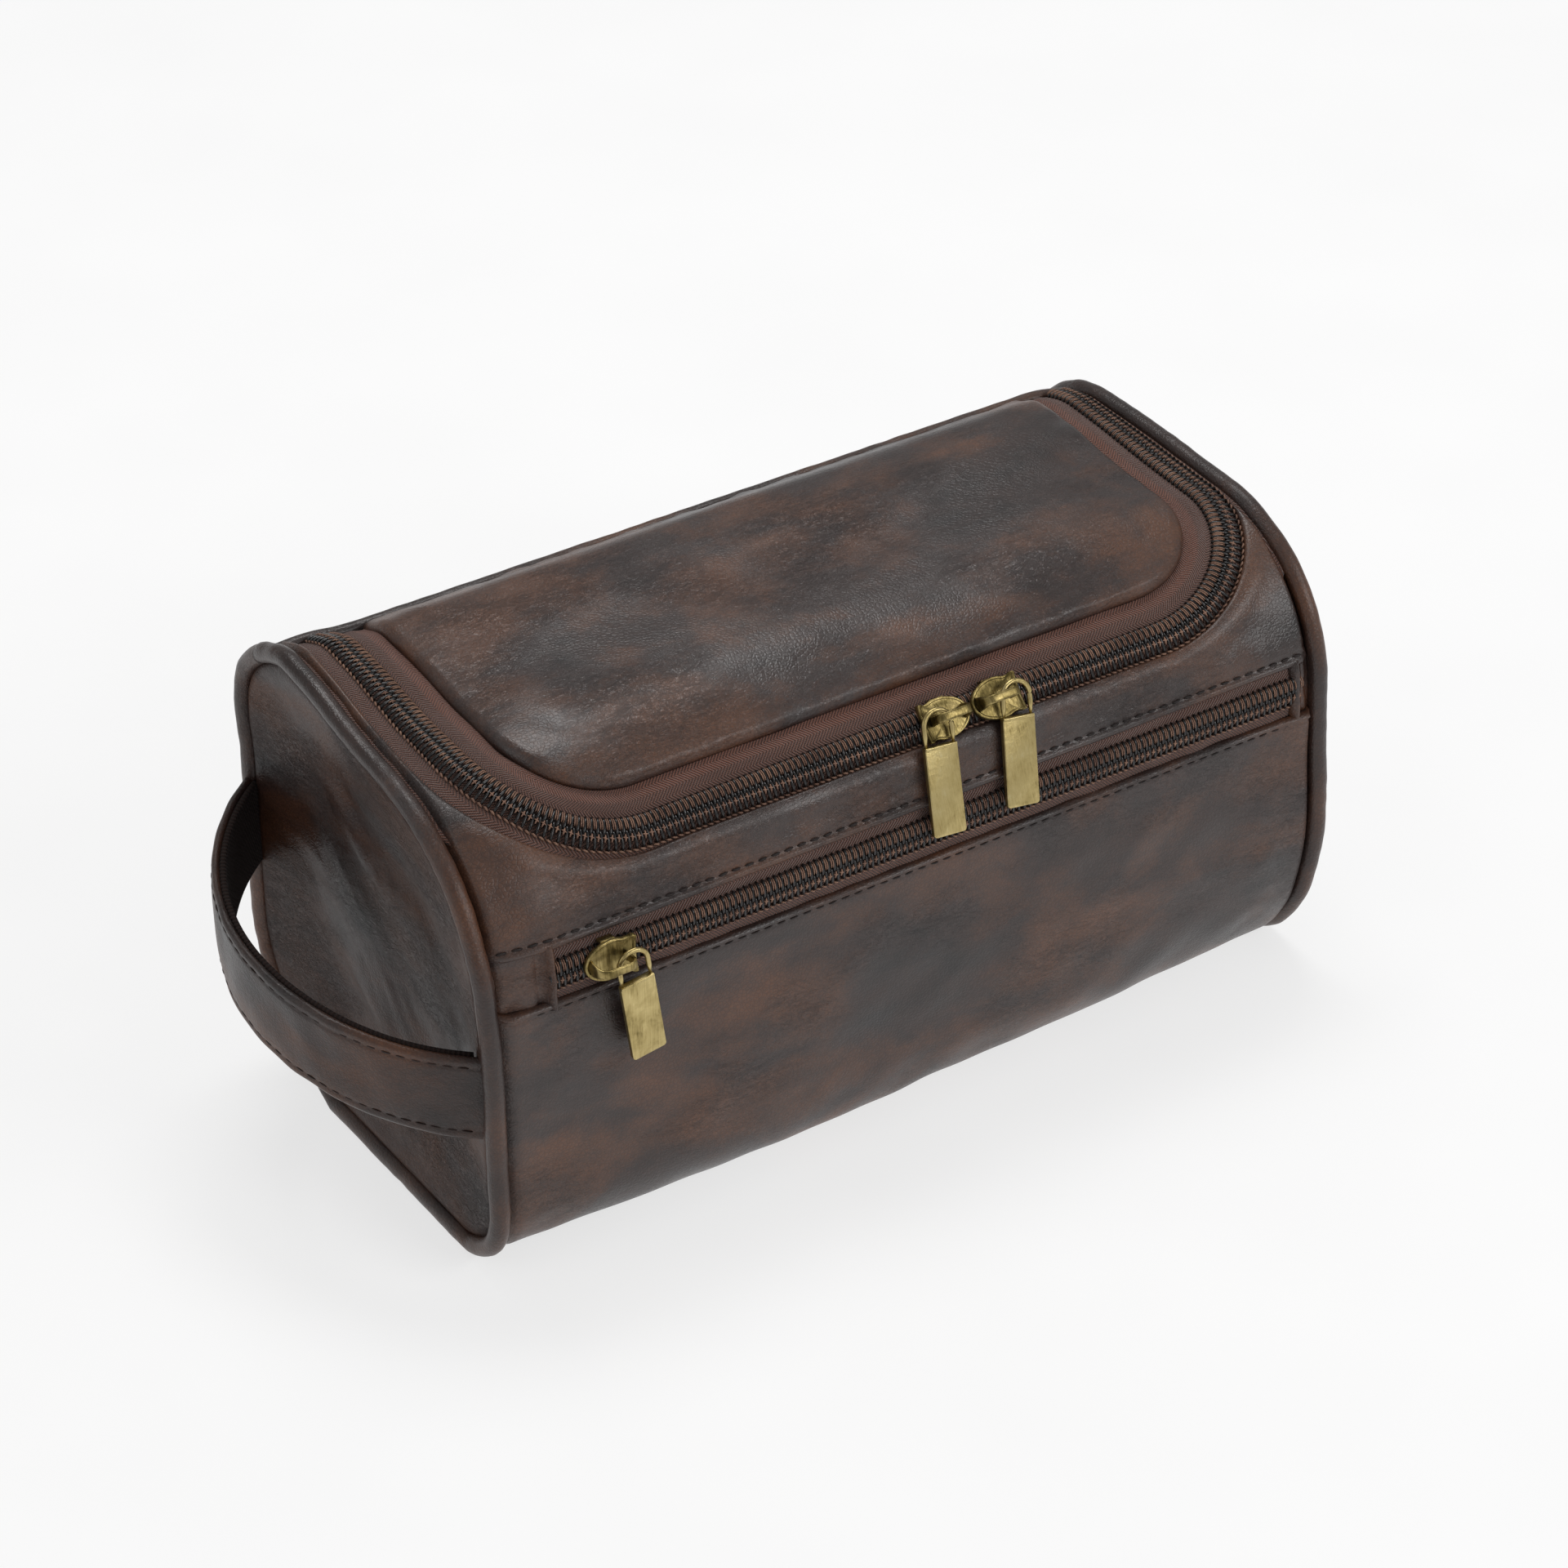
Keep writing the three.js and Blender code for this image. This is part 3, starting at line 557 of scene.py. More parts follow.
LEATHER = leather("leather_body")
LEATHER_LID = leather("leather_lid", warm=0.75)
# The end panels take a darker, greyer, less glossy copy of the leather: painted shade on the ends.
LEATHER_END_PAINTED_SHADE = leather("leather_end_painted_shade", warm=-0.3, creases=1.3, dark=0.75, gloss=0.45)
LEATHER_STRAP = leather("leather_strap", warm=0.2, creases=0.6, dark=0.8, gloss=0.75)
PIPING = leather("leather_piping", warm=0.2, creases=0.4, gloss=0.85)
TAPE = tape("zip_tape", srgb(118, 80, 66), srgb(46, 30, 26))
COIL = nylon("zip_nylon")
ZIP_THREAD = thread("zip_thread", srgb(152, 118, 98), srgb(84, 58, 48))
SEAM_THREAD = thread("seam_thread", srgb(36, 24, 21), srgb(16, 11, 10))
STRAP_THREAD = thread("strap_thread", srgb(56, 40, 34), srgb(30, 20, 18))
LINING = cloth("lining_cloth", srgb(98, 82, 66), srgb(52, 42, 34), 0.7)
WEBBING = cloth("webbing_weave", srgb(38, 24, 20), srgb(20, 13, 11), 1.3, 0.03)
FOAM = crumb("foam_wadding", srgb(104, 90, 76), srgb(72, 60, 50), 900)
BOARD = crumb("fibre_board", srgb(160, 134, 100), srgb(112, 90, 64), 600)
BRASS = brass("antique_brass")
CAST_BRASS = brass("cast_brass", patina=0.15)


# ---- The main zip's path

ZIP_SIDE = ZIP_FRONT - ZIP_CORNER - ZIP_START
ZIP_ARC = math.pi / 2 * ZIP_CORNER
ZIP_RUN = ZIP_RIGHT - ZIP_LEFT - 2 * ZIP_CORNER
ZIP_LENGTH = 2 * ZIP_SIDE + 2 * ZIP_ARC + ZIP_RUN


def zip_path(s, d):
    """x and u at s along the zip from its left rear end, d outside its middle."""
    s, d = np.broadcast_arrays(np.asarray(s, float), np.asarray(d, float))
    mirrored = s > ZIP_LENGTH / 2
    t = np.where(mirrored, ZIP_LENGTH - s, s)
    angle = np.clip((t - ZIP_SIDE) / ZIP_CORNER, 0, math.pi / 2)
    reach = ZIP_CORNER + d
    half = (ZIP_RIGHT - ZIP_LEFT) / 2
    along_front = np.maximum(t - ZIP_SIDE - ZIP_ARC, 0)
    x = -(half - ZIP_CORNER) - reach * np.cos(angle) + along_front
    u = ZIP_START + np.minimum(t, ZIP_SIDE) + reach * np.sin(angle)
    x = np.where(mirrored, -x, x) + (ZIP_RIGHT + ZIP_LEFT) / 2
    return x, u


def leather_edge(s):
    """How far the outer leather's edge stands off the zip's middle: the tape shows at the left."""
    return FRONT_EDGE + LEFT_TAPE_SHOWN * (1 - step(s, ZIP_SIDE - 5, ZIP_SIDE + ZIP_ARC * 1.25))


def groove(x):
    """The leather dives into the seams beside the end pipings."""
    return -3.0 * step(np.abs(x), GROOVE_X - 2.0, GROOVE_X + 0.5)


# ---- Leather panels

STITCH_END = 123
FOLD_STITCH = POCKET_FOLD - 2.8
EDGE_STITCH = POCKET_EDGE + 2.1


def panel(name, node, x, u, top, bottom):
    place(shell(name, x, u, top, bottom, LEATHER), body="shell", replaces=[node])


def stitch_row(name, u, thick):
    """A row of long stitches along the bag, from end to end."""
    pitch, dash = 3.9, 2.6
    starts = np.arange(-STITCH_END, STITCH_END - dash, pitch)
    t = np.linspace(0, 1, 6)[None]
    wobble = np.random.default_rng(RNG_SEED + len(starts)).normal(0, 0.12, len(starts))[:, None]
    x, across = starts[:, None] + dash * t, u + wobble * (1 - 2 * t) * 0.7
    paths = skin(x, across, 0.3 * np.sin(np.pi * t) - 0.32)
    place(tubes(name, paths, thick, 6, SEAM_THREAD), body="shell")


def front_upper():
    s = np.arange(0, ZIP_LENGTH + 0.01, 1.3)
    x_in, u_in = zip_path(s, leather_edge(s))
    cx = np.clip(x_in, ZIP_LEFT + ZIP_CORNER, ZIP_RIGHT - ZIP_CORNER)
    cu = np.minimum(u_in, ZIP_FRONT - ZIP_CORNER)
    dx, du = x_in - cx, u_in - cu
    side_room = np.where(dx > 0, PANEL_END - cx, PANEL_END + cx)
    room = np.minimum(side_room / np.maximum(np.abs(dx), 1e-6),
                      (POCKET_FOLD - cu) / np.maximum(du, 1e-6))
    x_out, u_out = cx + dx * room, cu + du * room
    t = np.concatenate([[0, 0.006, 0.016, 0.03, 0.05], np.linspace(0.08, 0.86, 20),
                        [0.885, 0.905, 0.92, 0.935, 0.95, 0.965, 0.978, 0.988, 0.995, 1.0]])
    x = x_in[:, None] + (x_out - x_in)[:, None] * t
    u = u_in[:, None] + (u_out - u_in)[:, None] * t
    from_zip = np.hypot(x - x_in[:, None], u - u_in[:, None])
    from_fold = POCKET_FOLD - u
    h = rolled(from_zip, 1.1) + rolled(from_fold, 1.0) + groove(x)
    h += 0.7 * bump(from_zip, 3.5, 3.0)
    h += -0.4 * bump(u, FOLD_STITCH, 0.75) + 0.55 * bump(from_fold, 1.3, 1.1)
    wide = step(from_zip, 2, 9) * step(from_fold, 4, 10) * (1 - step(np.abs(x), 116, 123))
    h += wide * (0.22 * ripple(x, u, 34, 1, 1.8) + 0.04 * ripple(x, u, 9, 2, 1.5))
    h += 0.12 * bump(from_fold, 6, 5) * ripple(x, u, 14, 3, 0.6) * step(from_fold, 2, 5)
    bottom = np.minimum(-1.3, h - 0.9)
    panel("front_upper_leather", "front_upper_panel", x, u, h, bottom)
    stitch_row("front_fold_stitches", FOLD_STITCH, 0.34)


def front_pocket():
    x = spread(-PANEL_END, PANEL_END, 1.5)[:, None]
    u = np.unique(np.concatenate([spread(POCKET_EDGE, BOTTOM_START, 1.5, 1.2),
                                  EDGE_STITCH + np.linspace(-1.2, 1.2, 7)]))[None]
    off = u - POCKET_EDGE
    lift = 1.0 * bump(np.abs(x), 122, 6) * bump(off, 0, 9)
    h = rolled(off, 1.0) + groove(x) + lift - 0.3 * bump(u, EDGE_STITCH, 0.55)
    h = h + 0.5 * bump(off, 0.95, 0.75)
    wide = step(off, 5, 18) * (1 - step(np.abs(x), 108, 123)) * (1 - step(u, FLAT_END, BOTTOM_START))
    h = h + wide * (0.55 * ripple(x, u, 62, 11, 1.6) + 0.16 * ripple(x, u, 17, 12, 1.4))
    h = h - 0.35 * step(np.abs(x), 100, 122) * wide * np.abs(ripple(x, u, 18, 13, 1.4))
    panel("front_pocket_leather", "front_pocket_panel", x, u, h, np.minimum(h, 0) - 1.2)
    stitch_row("pocket_edge_stitches", EDGE_STITCH, 0.24)


def bottom_and_back():
    x = spread(-PANEL_END, PANEL_END, 2.2)[:, None]
    u = spread(BOTTOM_START + SEAM_GAP, BOTTOM_END, 2.2)[None]
    inside = step(u, BOTTOM_START, BOTTOM_START + 12) * (1 - step(u, BOTTOM_END - 12, BOTTOM_END))
    dent = -0.6 * inside * (1 - step(np.abs(x), 100, 122)) * (1 + 0.4 * ripple(x, u, 60, 21))
    h = np.minimum(dent + groove(x), 0)
    panel("bottom_leather", "bottom_panel", x, u, h, h - 1.1)

    x = spread(-PANEL_END, PANEL_END, 1.8)[:, None]
    u = spread(BOTTOM_END + SEAM_GAP, GIRTH - 1.2, 1.8)[None]
    off = GIRTH - u
    wide = step(u, BOTTOM_END + 5, BOTTOM_END + 30) * (1 - step(np.abs(x), 108, 123)) * step(off, 3, 20)
    h = groove(x) - 1.3 * (1 - step(off, 1, 4.5))
    h = h + wide * (0.6 * ripple(x, u, 55, 22, 1.5) + 0.18 * ripple(x, u, 16, 23, 1.3))
    panel("back_leather", "back_panel", x, u, h, h - 1.2)


def pocket_covers():
    """Leather over each end of the pocket zip, with a turned ridge where the zip comes out."""
    under = 1.5  # how far a cover runs on under its neighbours
    u = np.linspace(POCKET_FOLD - under, POCKET_EDGE + under, 26)[None]
    for side, word, inner in ((-1, "left", POCKET_LEFT + under), (1, "right", POCKET_RIGHT - under)):
        reach = PANEL_END - side * inner
        t = np.unique(np.concatenate([np.arange(0, reach, 0.9), np.linspace(0, 5, 17)]))
        t = t[t <= reach][:, None]
        x = inner + side * t
        ridge = 2.3 * bump(t, 1.7, 1.2) - 0.5 * bump(t, 4.6, 1.0)
        h = 0.9 * rolled(t, 0.9) + ridge + 0.6 * groove(x) + 0.12 * ripple(x, u, 8, 31) - 1.15
        h = h - 0.5 * (1 - step(np.abs(u - POCKET_ZIP), 0, 6)) * bump(t, 5, 3)
        panel(f"pocket_zip_{word}_tab_leather", f"pocket_zip_{word}_cover", x, u, h, 0 * h - 2.5)


END_MIDDLE = (0.0, 67.0)  # y and z where the nets of the ends close
END_REACH = 60  # about how far that is from their edges


def ring_net(boundary, target, shares):
    """Rows round a closed boundary, columns from it in towards each point's target."""
    return boundary[:, None] + (target - boundary)[:, None] * np.asarray(shares)[None, :, None]


def end_sheet(name, node, side, net, thick, material, start):
    """A sheet over a net of an end of the bag. start is its leather's own zero upwards."""
    flow = np.stack([net[..., 1], net[..., 2] + start, 0 * net[..., 0]], -1)
    piece = solid_sheet(name, net, net - [side * thick, 0, 0], material, True, flow)
    place(piece, body="shell", replaces=[node])


def end_panel(side, name):
    """The D-shaped end, drawn in at its middle and slack, so that it folds."""
    u = np.linspace(0, GIRTH, 300, endpoint=False)
    x_ring = side * (PIPING_X - 0.6)
    edge = skin(x_ring, u, -3.3)
    edge[:, 2] = np.maximum(edge[:, 2], 4.3)
    ring_x = edge[:, :1].copy()
    shares = np.concatenate([[0, 0.012, 0.025, 0.045, 0.07], np.linspace(0.1, 1.0, 34)])
    net = ring_net(edge, np.array([x_ring, *END_MIDDLE]), shares)
    y, z = net[..., 1], net[..., 2]
    inward = END_REACH * shares[None]
    hollow = 3.4 * step(inward, 2, 30)
    diagonal = 0.75 * y + 0.66 * z
    across = 0.75 * z - 0.66 * y
    folds = 0.9 * ripple(diagonal / 2.2, across, 44, 41 + side)
    folds = (folds + 0.3 * ripple(diagonal / 3.0, across, 17, 45 + side)) * step(inward, 3, 26)
    fine = 0.05 * ripple(diagonal / 1.8, across, 6, 47 + side) * step(inward, 2, 8)
    pull = -0.8 * bump(inward, 3.2, 2.2)
    depth = hollow + folds + fine + pull + 0.9 * (1 - step(inward, 0, 1.5))
    net[..., 0] = ring_x + (x_ring - ring_x) * shares[None] + side * 0.8 - side * depth
    # The end leather's darker colour is painted shade.
    end_sheet(f"{name}_end_leather", f"{name}_end_panel", side, net, 1.2, LEATHER_END_PAINTED_SHADE,
              300 * side)


def pipings():
    u = np.linspace(0, GIRTH, 420, endpoint=False)
    for side, name in ((-1, "left"), (1, "right")):
        centres = skin(side * PIPING_X, u, -PIPING_DEPTH)
        centres[:, 2] = np.maximum(centres[:, 2], PIPING_RADIUS)
        ny, nz = outline(u)[2:]
        out = np.stack([0 * u, ny, nz], -1)
        across = np.tile([1.0, 0.0, 0.0], (len(u), 1))
        radii = PIPING_RADIUS * (0.955 + 0.014 * ripple(u, 0 * u, 8, 51 + side))
        centres = centres + out * 0.1 * ripple(u, 0 * u, 24, 53 + side)[:, None]
        centres[:, 2] = np.maximum(centres[:, 2], radii)
        piece = hoop(f"{name}_end_piping", centres, out, across, radii, PIPING)
        place(piece, body="shell", replaces=[f"{name}_piping"])
    x = np.linspace(-PANEL_END, PANEL_END, 180)
    drop = 1.4 * step(np.abs(x), 112, PANEL_END)
    centres = skin(x, 0 * x, -0.8 - drop)
    ny, nz = outline(0 * x)[2:]
    out = np.stack([0 * x, ny, nz], -1)
    across = np.stack([0 * x, -nz, ny], -1)
    radii = 1.95 + 0.04 * ripple(x, 0 * x, 10, 57)
    piece = hoop("rear_seam_piping", centres, out, across, radii, PIPING, closed=False, sides=12)
    place(piece, body="shell", replaces=["rear_piping"])


# ---- Zips

TOOTH_PITCH = 1.75
TOOTH_D = np.array([4.15, 3.9, 2.9, 1.6, 0.4, -0.45, -0.62])
TOOTH_H = np.array([-1.5, -0.55, 0.0, 0.12, 0.2, -0.05, -0.6])
LONG_STITCH = np.array([[3.95, -0.7], [3.6, 0.0], [2.8, 0.46], [1.7, 0.56], [0.95, 0.4]])
SHORT_STITCH = np.array([[2.2, 0.4], [1.6, 0.56], [0.8, 0.58], [0.3, 0.45]])
CROSS_STITCH = np.array([[1.05, 0.5], [1.15, 0.68], [1.25, 0.68], [1.35, 0.5]])
CHAIN = np.array([[4.25, -1.1], [4.4, -0.8], [4.6, -0.8], [4.7, -1.1]])


def sewn(name, route, s, reach, path, side, thick, body):
    """One stitch at each s, running reach along the zip while it follows path across it."""
    along = np.linspace(-reach / 2, reach / 2, len(path))
    x, u = route(s[:, None] + along[None], side * path[None, :, 0])
    place(tubes(name, skin(x, u, path[None, :, 1]), thick, 6, ZIP_THREAD), body=body)


def woven(name, x, u, top, along, across, body):
    flow = np.stack(np.broadcast_arrays(along, across, 0.0), -1)
    piece = shell(f"{name}_woven", x, u, top, top - 0.6, TAPE, flow=flow)
    place(piece, body=body, replaces=[f"{name}_tape"])


def zip_rows(name, route, length, side, body):
    """Coil loops, and the threads that sew them to one side's tape. The inner side's tape is
    caught by pairs of long stitches, the outer side's by a cross and a chain at the coil's edge."""
    count = int(length / TOOTH_PITCH)
    s = (np.arange(count) + (0.25 if side > 0 else 0.75)) * TOOTH_PITCH
    slant = 0.28 * (TOOTH_D - 1.6) / 3
    x, u = route(s[:, None] + slant[None], side * TOOTH_D[None])
    radii = np.array([0.4, 0.43, 0.43, 0.43, 0.44, 0.46, 0.42])
    piece = tubes(f"{name}_teeth", skin(x, u, TOOTH_H[None]), radii, 6, COIL)
    place(piece, body=body, replaces=[f"{name}_coil"])
    half = TOOTH_PITCH / 2
    if side < 0:
        pairs = np.sort(np.concatenate([s + half - 0.28, s + half + 0.28]))
        sewn(f"{name}_thread", route, pairs, 0.16, LONG_STITCH, side, 0.17, body)
    else:
        sewn(f"{name}_thread", route, s + half, 0.2, SHORT_STITCH, side, 0.23, body)
        sewn(f"{name}_cross_thread", route, s + half, 1.3, CROSS_STITCH, side, 0.2, body)
        sewn(f"{name}_chain", route, s, 1.55, CHAIN, side, 0.32, body)


def main_zip():
    s = np.arange(0, ZIP_LENGTH + 0.01, 1.6)
    for side, body, word in ((1, "shell", "outer"), (-1, "lid", "inner")):
        d = side * np.concatenate([[0.7], np.linspace(1.5, 5, 5), np.arange(6, TAPE_WIDTH, 0.9)])
        x, u = zip_path(s[:, None], d[None])
        x = np.clip(x, -PANEL_END + 0.6, PANEL_END - 0.6)
        wave = 0.1 * ripple(s[:, None], d[None] * 2, 16, 61 + side)
        h = -TAPE_DEPTH + 0.45 + wave * step(np.abs(d)[None], 4, 8)
        if side < 0:
            h = h + 0.7 * bump(np.abs(d)[None], 7.5, 3.2)
        woven(f"main_zip_{word}", x, u, h, s[:, None], d[None] + TAPE_ZERO, body)
        zip_rows(f"main_zip_{word}", zip_path, ZIP_LENGTH, side, body)


def pocket_zip():
    x0, x1 = POCKET_LEFT - 1, POCKET_RIGHT + 1

    def route(s, d):
        s, d = np.broadcast_arrays(s, d)
        return x0 + s, POCKET_ZIP + d

    x = np.arange(x0, x1, 1.8)[:, None]
    for side, word in ((-1, "upper"), (1, "lower")):
        d = side * np.concatenate([[0.7], np.linspace(1.5, 9.6, 12)])[None]
        h = -TAPE_DEPTH + 0.35 + 0.1 * ripple(x, d * 2, 14, 65 + side)
        woven(f"pocket_zip_{word}", x, POCKET_ZIP + d, h, x, d + 2 * TAPE_ZERO, "shell")
        zip_rows(f"pocket_zip_{word}", route, x1 - x0, side, "shell")


# ---- The lid and the linings


def lining(name, x, u, top, body="shell", wrap=False):
    piece = shell(f"{name}_cloth", x, u, top, top - 0.5, LINING, wrap)
    place(piece, body=body, replaces=[name])


def lid_net(edge, shares, pitch=1.7):
    """Rows round the lid inside the zip by edge, columns in to its middle line."""
    x0, x1 = ZIP_LEFT + edge, ZIP_RIGHT - edge
    u0, u1 = 1.0, ZIP_FRONT - edge
    radius = ZIP_CORNER - edge
    half = (u1 - u0) / 2
    run = np.linspace(x0 + half, x1 - half, int((x1 - x0 - 2 * half) / pitch))
    arc = np.radians(np.linspace(90, 0, int(radius * 1.57 / pitch)))
    to_corner = np.arange(x1 - half, x1 - radius, pitch)[1:]
    front_right = np.concatenate([
        np.stack([to_corner, 0 * to_corner + u1], -1),
        np.stack([x1 - radius + radius * np.cos(arc), u1 - radius + radius * np.sin(arc)], -1),
    ])
    up = np.arange(u1 - radius, u0 + 2, -pitch)[1:]
    right_side = np.stack([0 * up + x1, up], -1)
    back = np.arange(x1 - 1.5, x1 - half, -pitch)
    rear_right = np.stack([back, 0 * back + u0], -1)
    right = np.concatenate([front_right, right_side, [[x1 - 0.3, u0 + 0.3]], rear_right])
    left = right[::-1].copy()
    left[:, 0] = x0 + x1 - left[:, 0]
    front = np.stack([run, 0 * run + u1], -1)
    rear = np.stack([run[::-1], 0 * run + u0], -1)
    boundary = np.concatenate([front, right, rear, left])
    along = boundary[:, 0]
    target = np.stack([np.clip(along, x0 + half, x1 - half), 0 * along + u0 + half], -1)
    net = ring_net(boundary, target, shares)
    return net[..., 0], net[..., 1], half * np.asarray(shares)[None] + 0 * net[..., 0]


def lid():
    near = np.array([0, 0.25, 0.6, 1.0, 1.5, 2.1, 2.8, 3.7, 4.8, 6, 7.4, 9]) / 46
    shares = np.concatenate([near, np.linspace(0.225, 1.0, 24)])
    x, u, inward = lid_net(LID_EDGE, shares)
    rear = 1 - step(u, 2, 16)
    puff = 1.6 * (1 - np.exp(-inward / 9)) + 0.9 * step(inward, 4, 40)
    pucker = 0.2 * np.exp(-inward / 5) * ripple(x, u, 11, 71) * step(inward, 0.3, 2)
    soft = step(inward, 4, 16) * (0.35 * ripple(x, u, 62, 72, 1.7) + 0.06 * ripple(x, u, 18, 73, 1.5))
    left_pinch = -0.35 * np.exp(-(((x - ZIP_LEFT - 30) * 0.7 - (u - 74) * 0.7) / 3.2) ** 2)
    left_pinch = left_pinch * np.exp(-((x - ZIP_LEFT - 30) ** 2 + (u - 74) ** 2) / 160)
    right_kink = -0.9 * bump(x, ZIP_RIGHT - 22, 7) * bump(u, 40, 7)
    lift = 1.7 + rolled(inward, 3.0) + puff * (1 - 0.7 * rear) - 1.0 * rear + pucker + soft * (1 - rear)
    h = lift + left_pinch + right_kink
    bottom = np.where(inward < 0.01, h, np.minimum(h - 0.8, -1.1))
    piece = shell("lid_leather", x, u, h, bottom, LEATHER_LID, wrap=True)
    start, end = skin(0, 1.0, 0), skin(0, 7.0, 0)
    place(piece, blend=("shell", "lid", tuple(start * MM), tuple(end * MM)),
          replaces=["lid_panel"])

    x, u, inward = lid_net(8.0, np.concatenate([[0, 0.012, 0.026], np.linspace(0.04, 1, 22)]), 3.0)
    u = np.maximum(u, 2.4)
    h = -LINING_DEPTH - 0.15 - 0.2 * np.abs(ripple(x, u, 20, 75)) * step(inward, 1, 8)
    h = h - np.maximum(swell(x, u), 0) + 3.0 * (1 - step(u, 2.4, 3.6))
    lining("lid_lining", x, u, h, "lid", wrap=True)


def linings():
    half = PIPING_X - 4.4
    x = np.arange(-half, half + 1, 3.0)[:, None]

    def strip(name, u0, u1, seed):
        u = np.linspace(u0, u1, max(3, int((u1 - u0) / 3)))[None]
        slack = step(np.minimum(u - u0, u1 - u), 0, 10) * step(half - np.abs(x), 0, 10)
        folds = 0.35 * slack * (0.5 * ripple(x, u, 34, seed) + 0.5)
        lining(name, x, u, -LINING_DEPTH - np.maximum(swell(x, u), 0) - 0.25 - folds)

    strip("front_lining", ZIP_FRONT + 8.0, BOTTOM_START, 81)
    strip("bottom_lining", BOTTOM_START + SEAM_GAP, BOTTOM_END, 82)
    strip("back_lining", BOTTOM_END + SEAM_GAP, GIRTH - 8, 83)
    for side, name in ((-1, "left"), (1, "right")):
        u = np.linspace(0, GIRTH, 180, endpoint=False)
        edge = skin(side * (half + 0.1), u, -6.4)
        full = np.maximum(swell(side * half, u), 0)
        edge = edge - np.stack([0 * u, *(n * full for n in outline(u)[2:])], -1)
        edge[:, 2] = np.maximum(edge[:, 2], 6.2)
        shares = np.linspace(0, 1, 22)
        net = ring_net(edge, np.array([side * (half + 0.1), *END_MIDDLE]), shares)
        slack = step(END_REACH * shares[None], 0, 15)
        net[..., 0] -= side * slack * (0.5 * ripple(net[..., 1], net[..., 2], 30, 85) + 1.0)
        end_sheet(f"{name}_end_lining_cloth", f"{name}_end_lining", side, net, 0.5, LINING, 0)
    x = np.linspace(POCKET_LEFT, POCKET_RIGHT, 80)[:, None]
    u = np.linspace(POCKET_ZIP + 10.4, POCKET_ZIP + 66, 20)[None]
    lining("pocket_lining", x, u, 0.1 * ripple(x, u, 30, 88) - 2.9)


# ---- Sliders and tabs

SLIDER_LENGTH = 14.5
SLIDER_HALF = 5.5
PLATE_TOP = 2.2
TAB_RISE = 2.9
TAB_OFFSET = 4.5


def prism(points, low, high):
    """Corners and faces of a straight-sided solid over an outline drawn in x and y."""
    return [(x, y, z) for z in (low, high) for x, y in points], skinned(2, len(points))


def join(parts):
    corners, faces = [], []
    for part_corners, part_faces in parts:
        faces += [[v + len(corners) for v in f] for f in part_faces]
        corners += list(part_corners)
    return np.array(corners, float), faces


def bevelled(piece, width):
    modifier = piece.modifiers.new("bevel", "BEVEL")
    modifier.width = width * MM
    modifier.segments = 3
    modifier.limit_method = "ANGLE"
    modifier.angle_limit = math.radians(32)
    modifier.harden_normals = False


def arc_points(cx, cy, radius, a0, a1, count):
    angles = np.radians(np.linspace(a0, a1, count))
    return [(cx + radius * math.cos(a), cy + radius * math.sin(a)) for a in angles]


def box_part(x0, x1, y0, y1, z0, z1):
    return prism([(x0, y0), (x1, y0), (x1, y1), (x0, y1)], z0, z1)


def slider_plate(low):
    """The slider's top: a rim round a dished middle, with two wings bent up at the square end."""
    square = SLIDER_LENGTH / 2
    waist = [(square, SLIDER_HALF - 0.4), (square - 0.9, SLIDER_HALF - 0.2),
             (square - 2.0, SLIDER_HALF - 0.7), (square - 3.2, SLIDER_HALF - 0.6),
             (square - 4.6, SLIDER_HALF - 0.15)]
    nose = [(1.2 + 8.45 * x, SLIDER_HALF * y) for x, y in arc_points(0, 0, 1, 90, 270, 31)]
    rough = np.array(waist + nose + [(x, -y) for x, y in reversed(waist)] + [waist[0]])
    run = np.concatenate([[0], np.cumsum(np.hypot(*np.diff(rough, axis=0).T))])
    even = np.linspace(0, run[-1], 96, endpoint=False)
    rim = np.stack([np.interp(even, run, rough[:, k]) for k in (0, 1)], -1)
    rings = [(1.0, low), (1.0, PLATE_TOP - 0.35), (0.985, PLATE_TOP - 0.1), (0.96, PLATE_TOP),
             (0.9, PLATE_TOP), (0.86, PLATE_TOP - 0.22), (0.7, PLATE_TOP - 0.1), (0.5, PLATE_TOP + 0.1),
             (0.25, PLATE_TOP + 0.15), (0.05, PLATE_TOP + 0.15)]
    corners = []
    for share, z in rings:
        for x, y in rim * share:
            wing = step(x, square - 2.6, square) * (0.35 + 0.95 * (abs(y) / SLIDER_HALF) ** 2)
            corners.append((x, y, z + (wing if z > low else 0.4 * wing)))
    return corners, skinned(len(rings), len(rim))


def slider_casting(both, lid_side):
    square = SLIDER_LENGTH / 2
    parts = [slider_plate(0.95)]
    post_start = SLIDER_HALF - square - 1.5
    parts.append(box_part(post_start, post_start + 4, -0.4, 0.4, -4.0, 1.1))
    for side in ([-1, 1] if both else [lid_side]):
        near, far = sorted((side * (SLIDER_HALF - 0.9), side * SLIDER_HALF))
        parts.append(box_part(SLIDER_HALF - square, square - 5, near, far, -1.2, 1.1))
        near, far = sorted((-side * 0.4, side * SLIDER_HALF))
        parts.append(box_part(SLIDER_HALF - square - 3, square - 2, near, far, -4.1, -3.1))
    return join(parts)


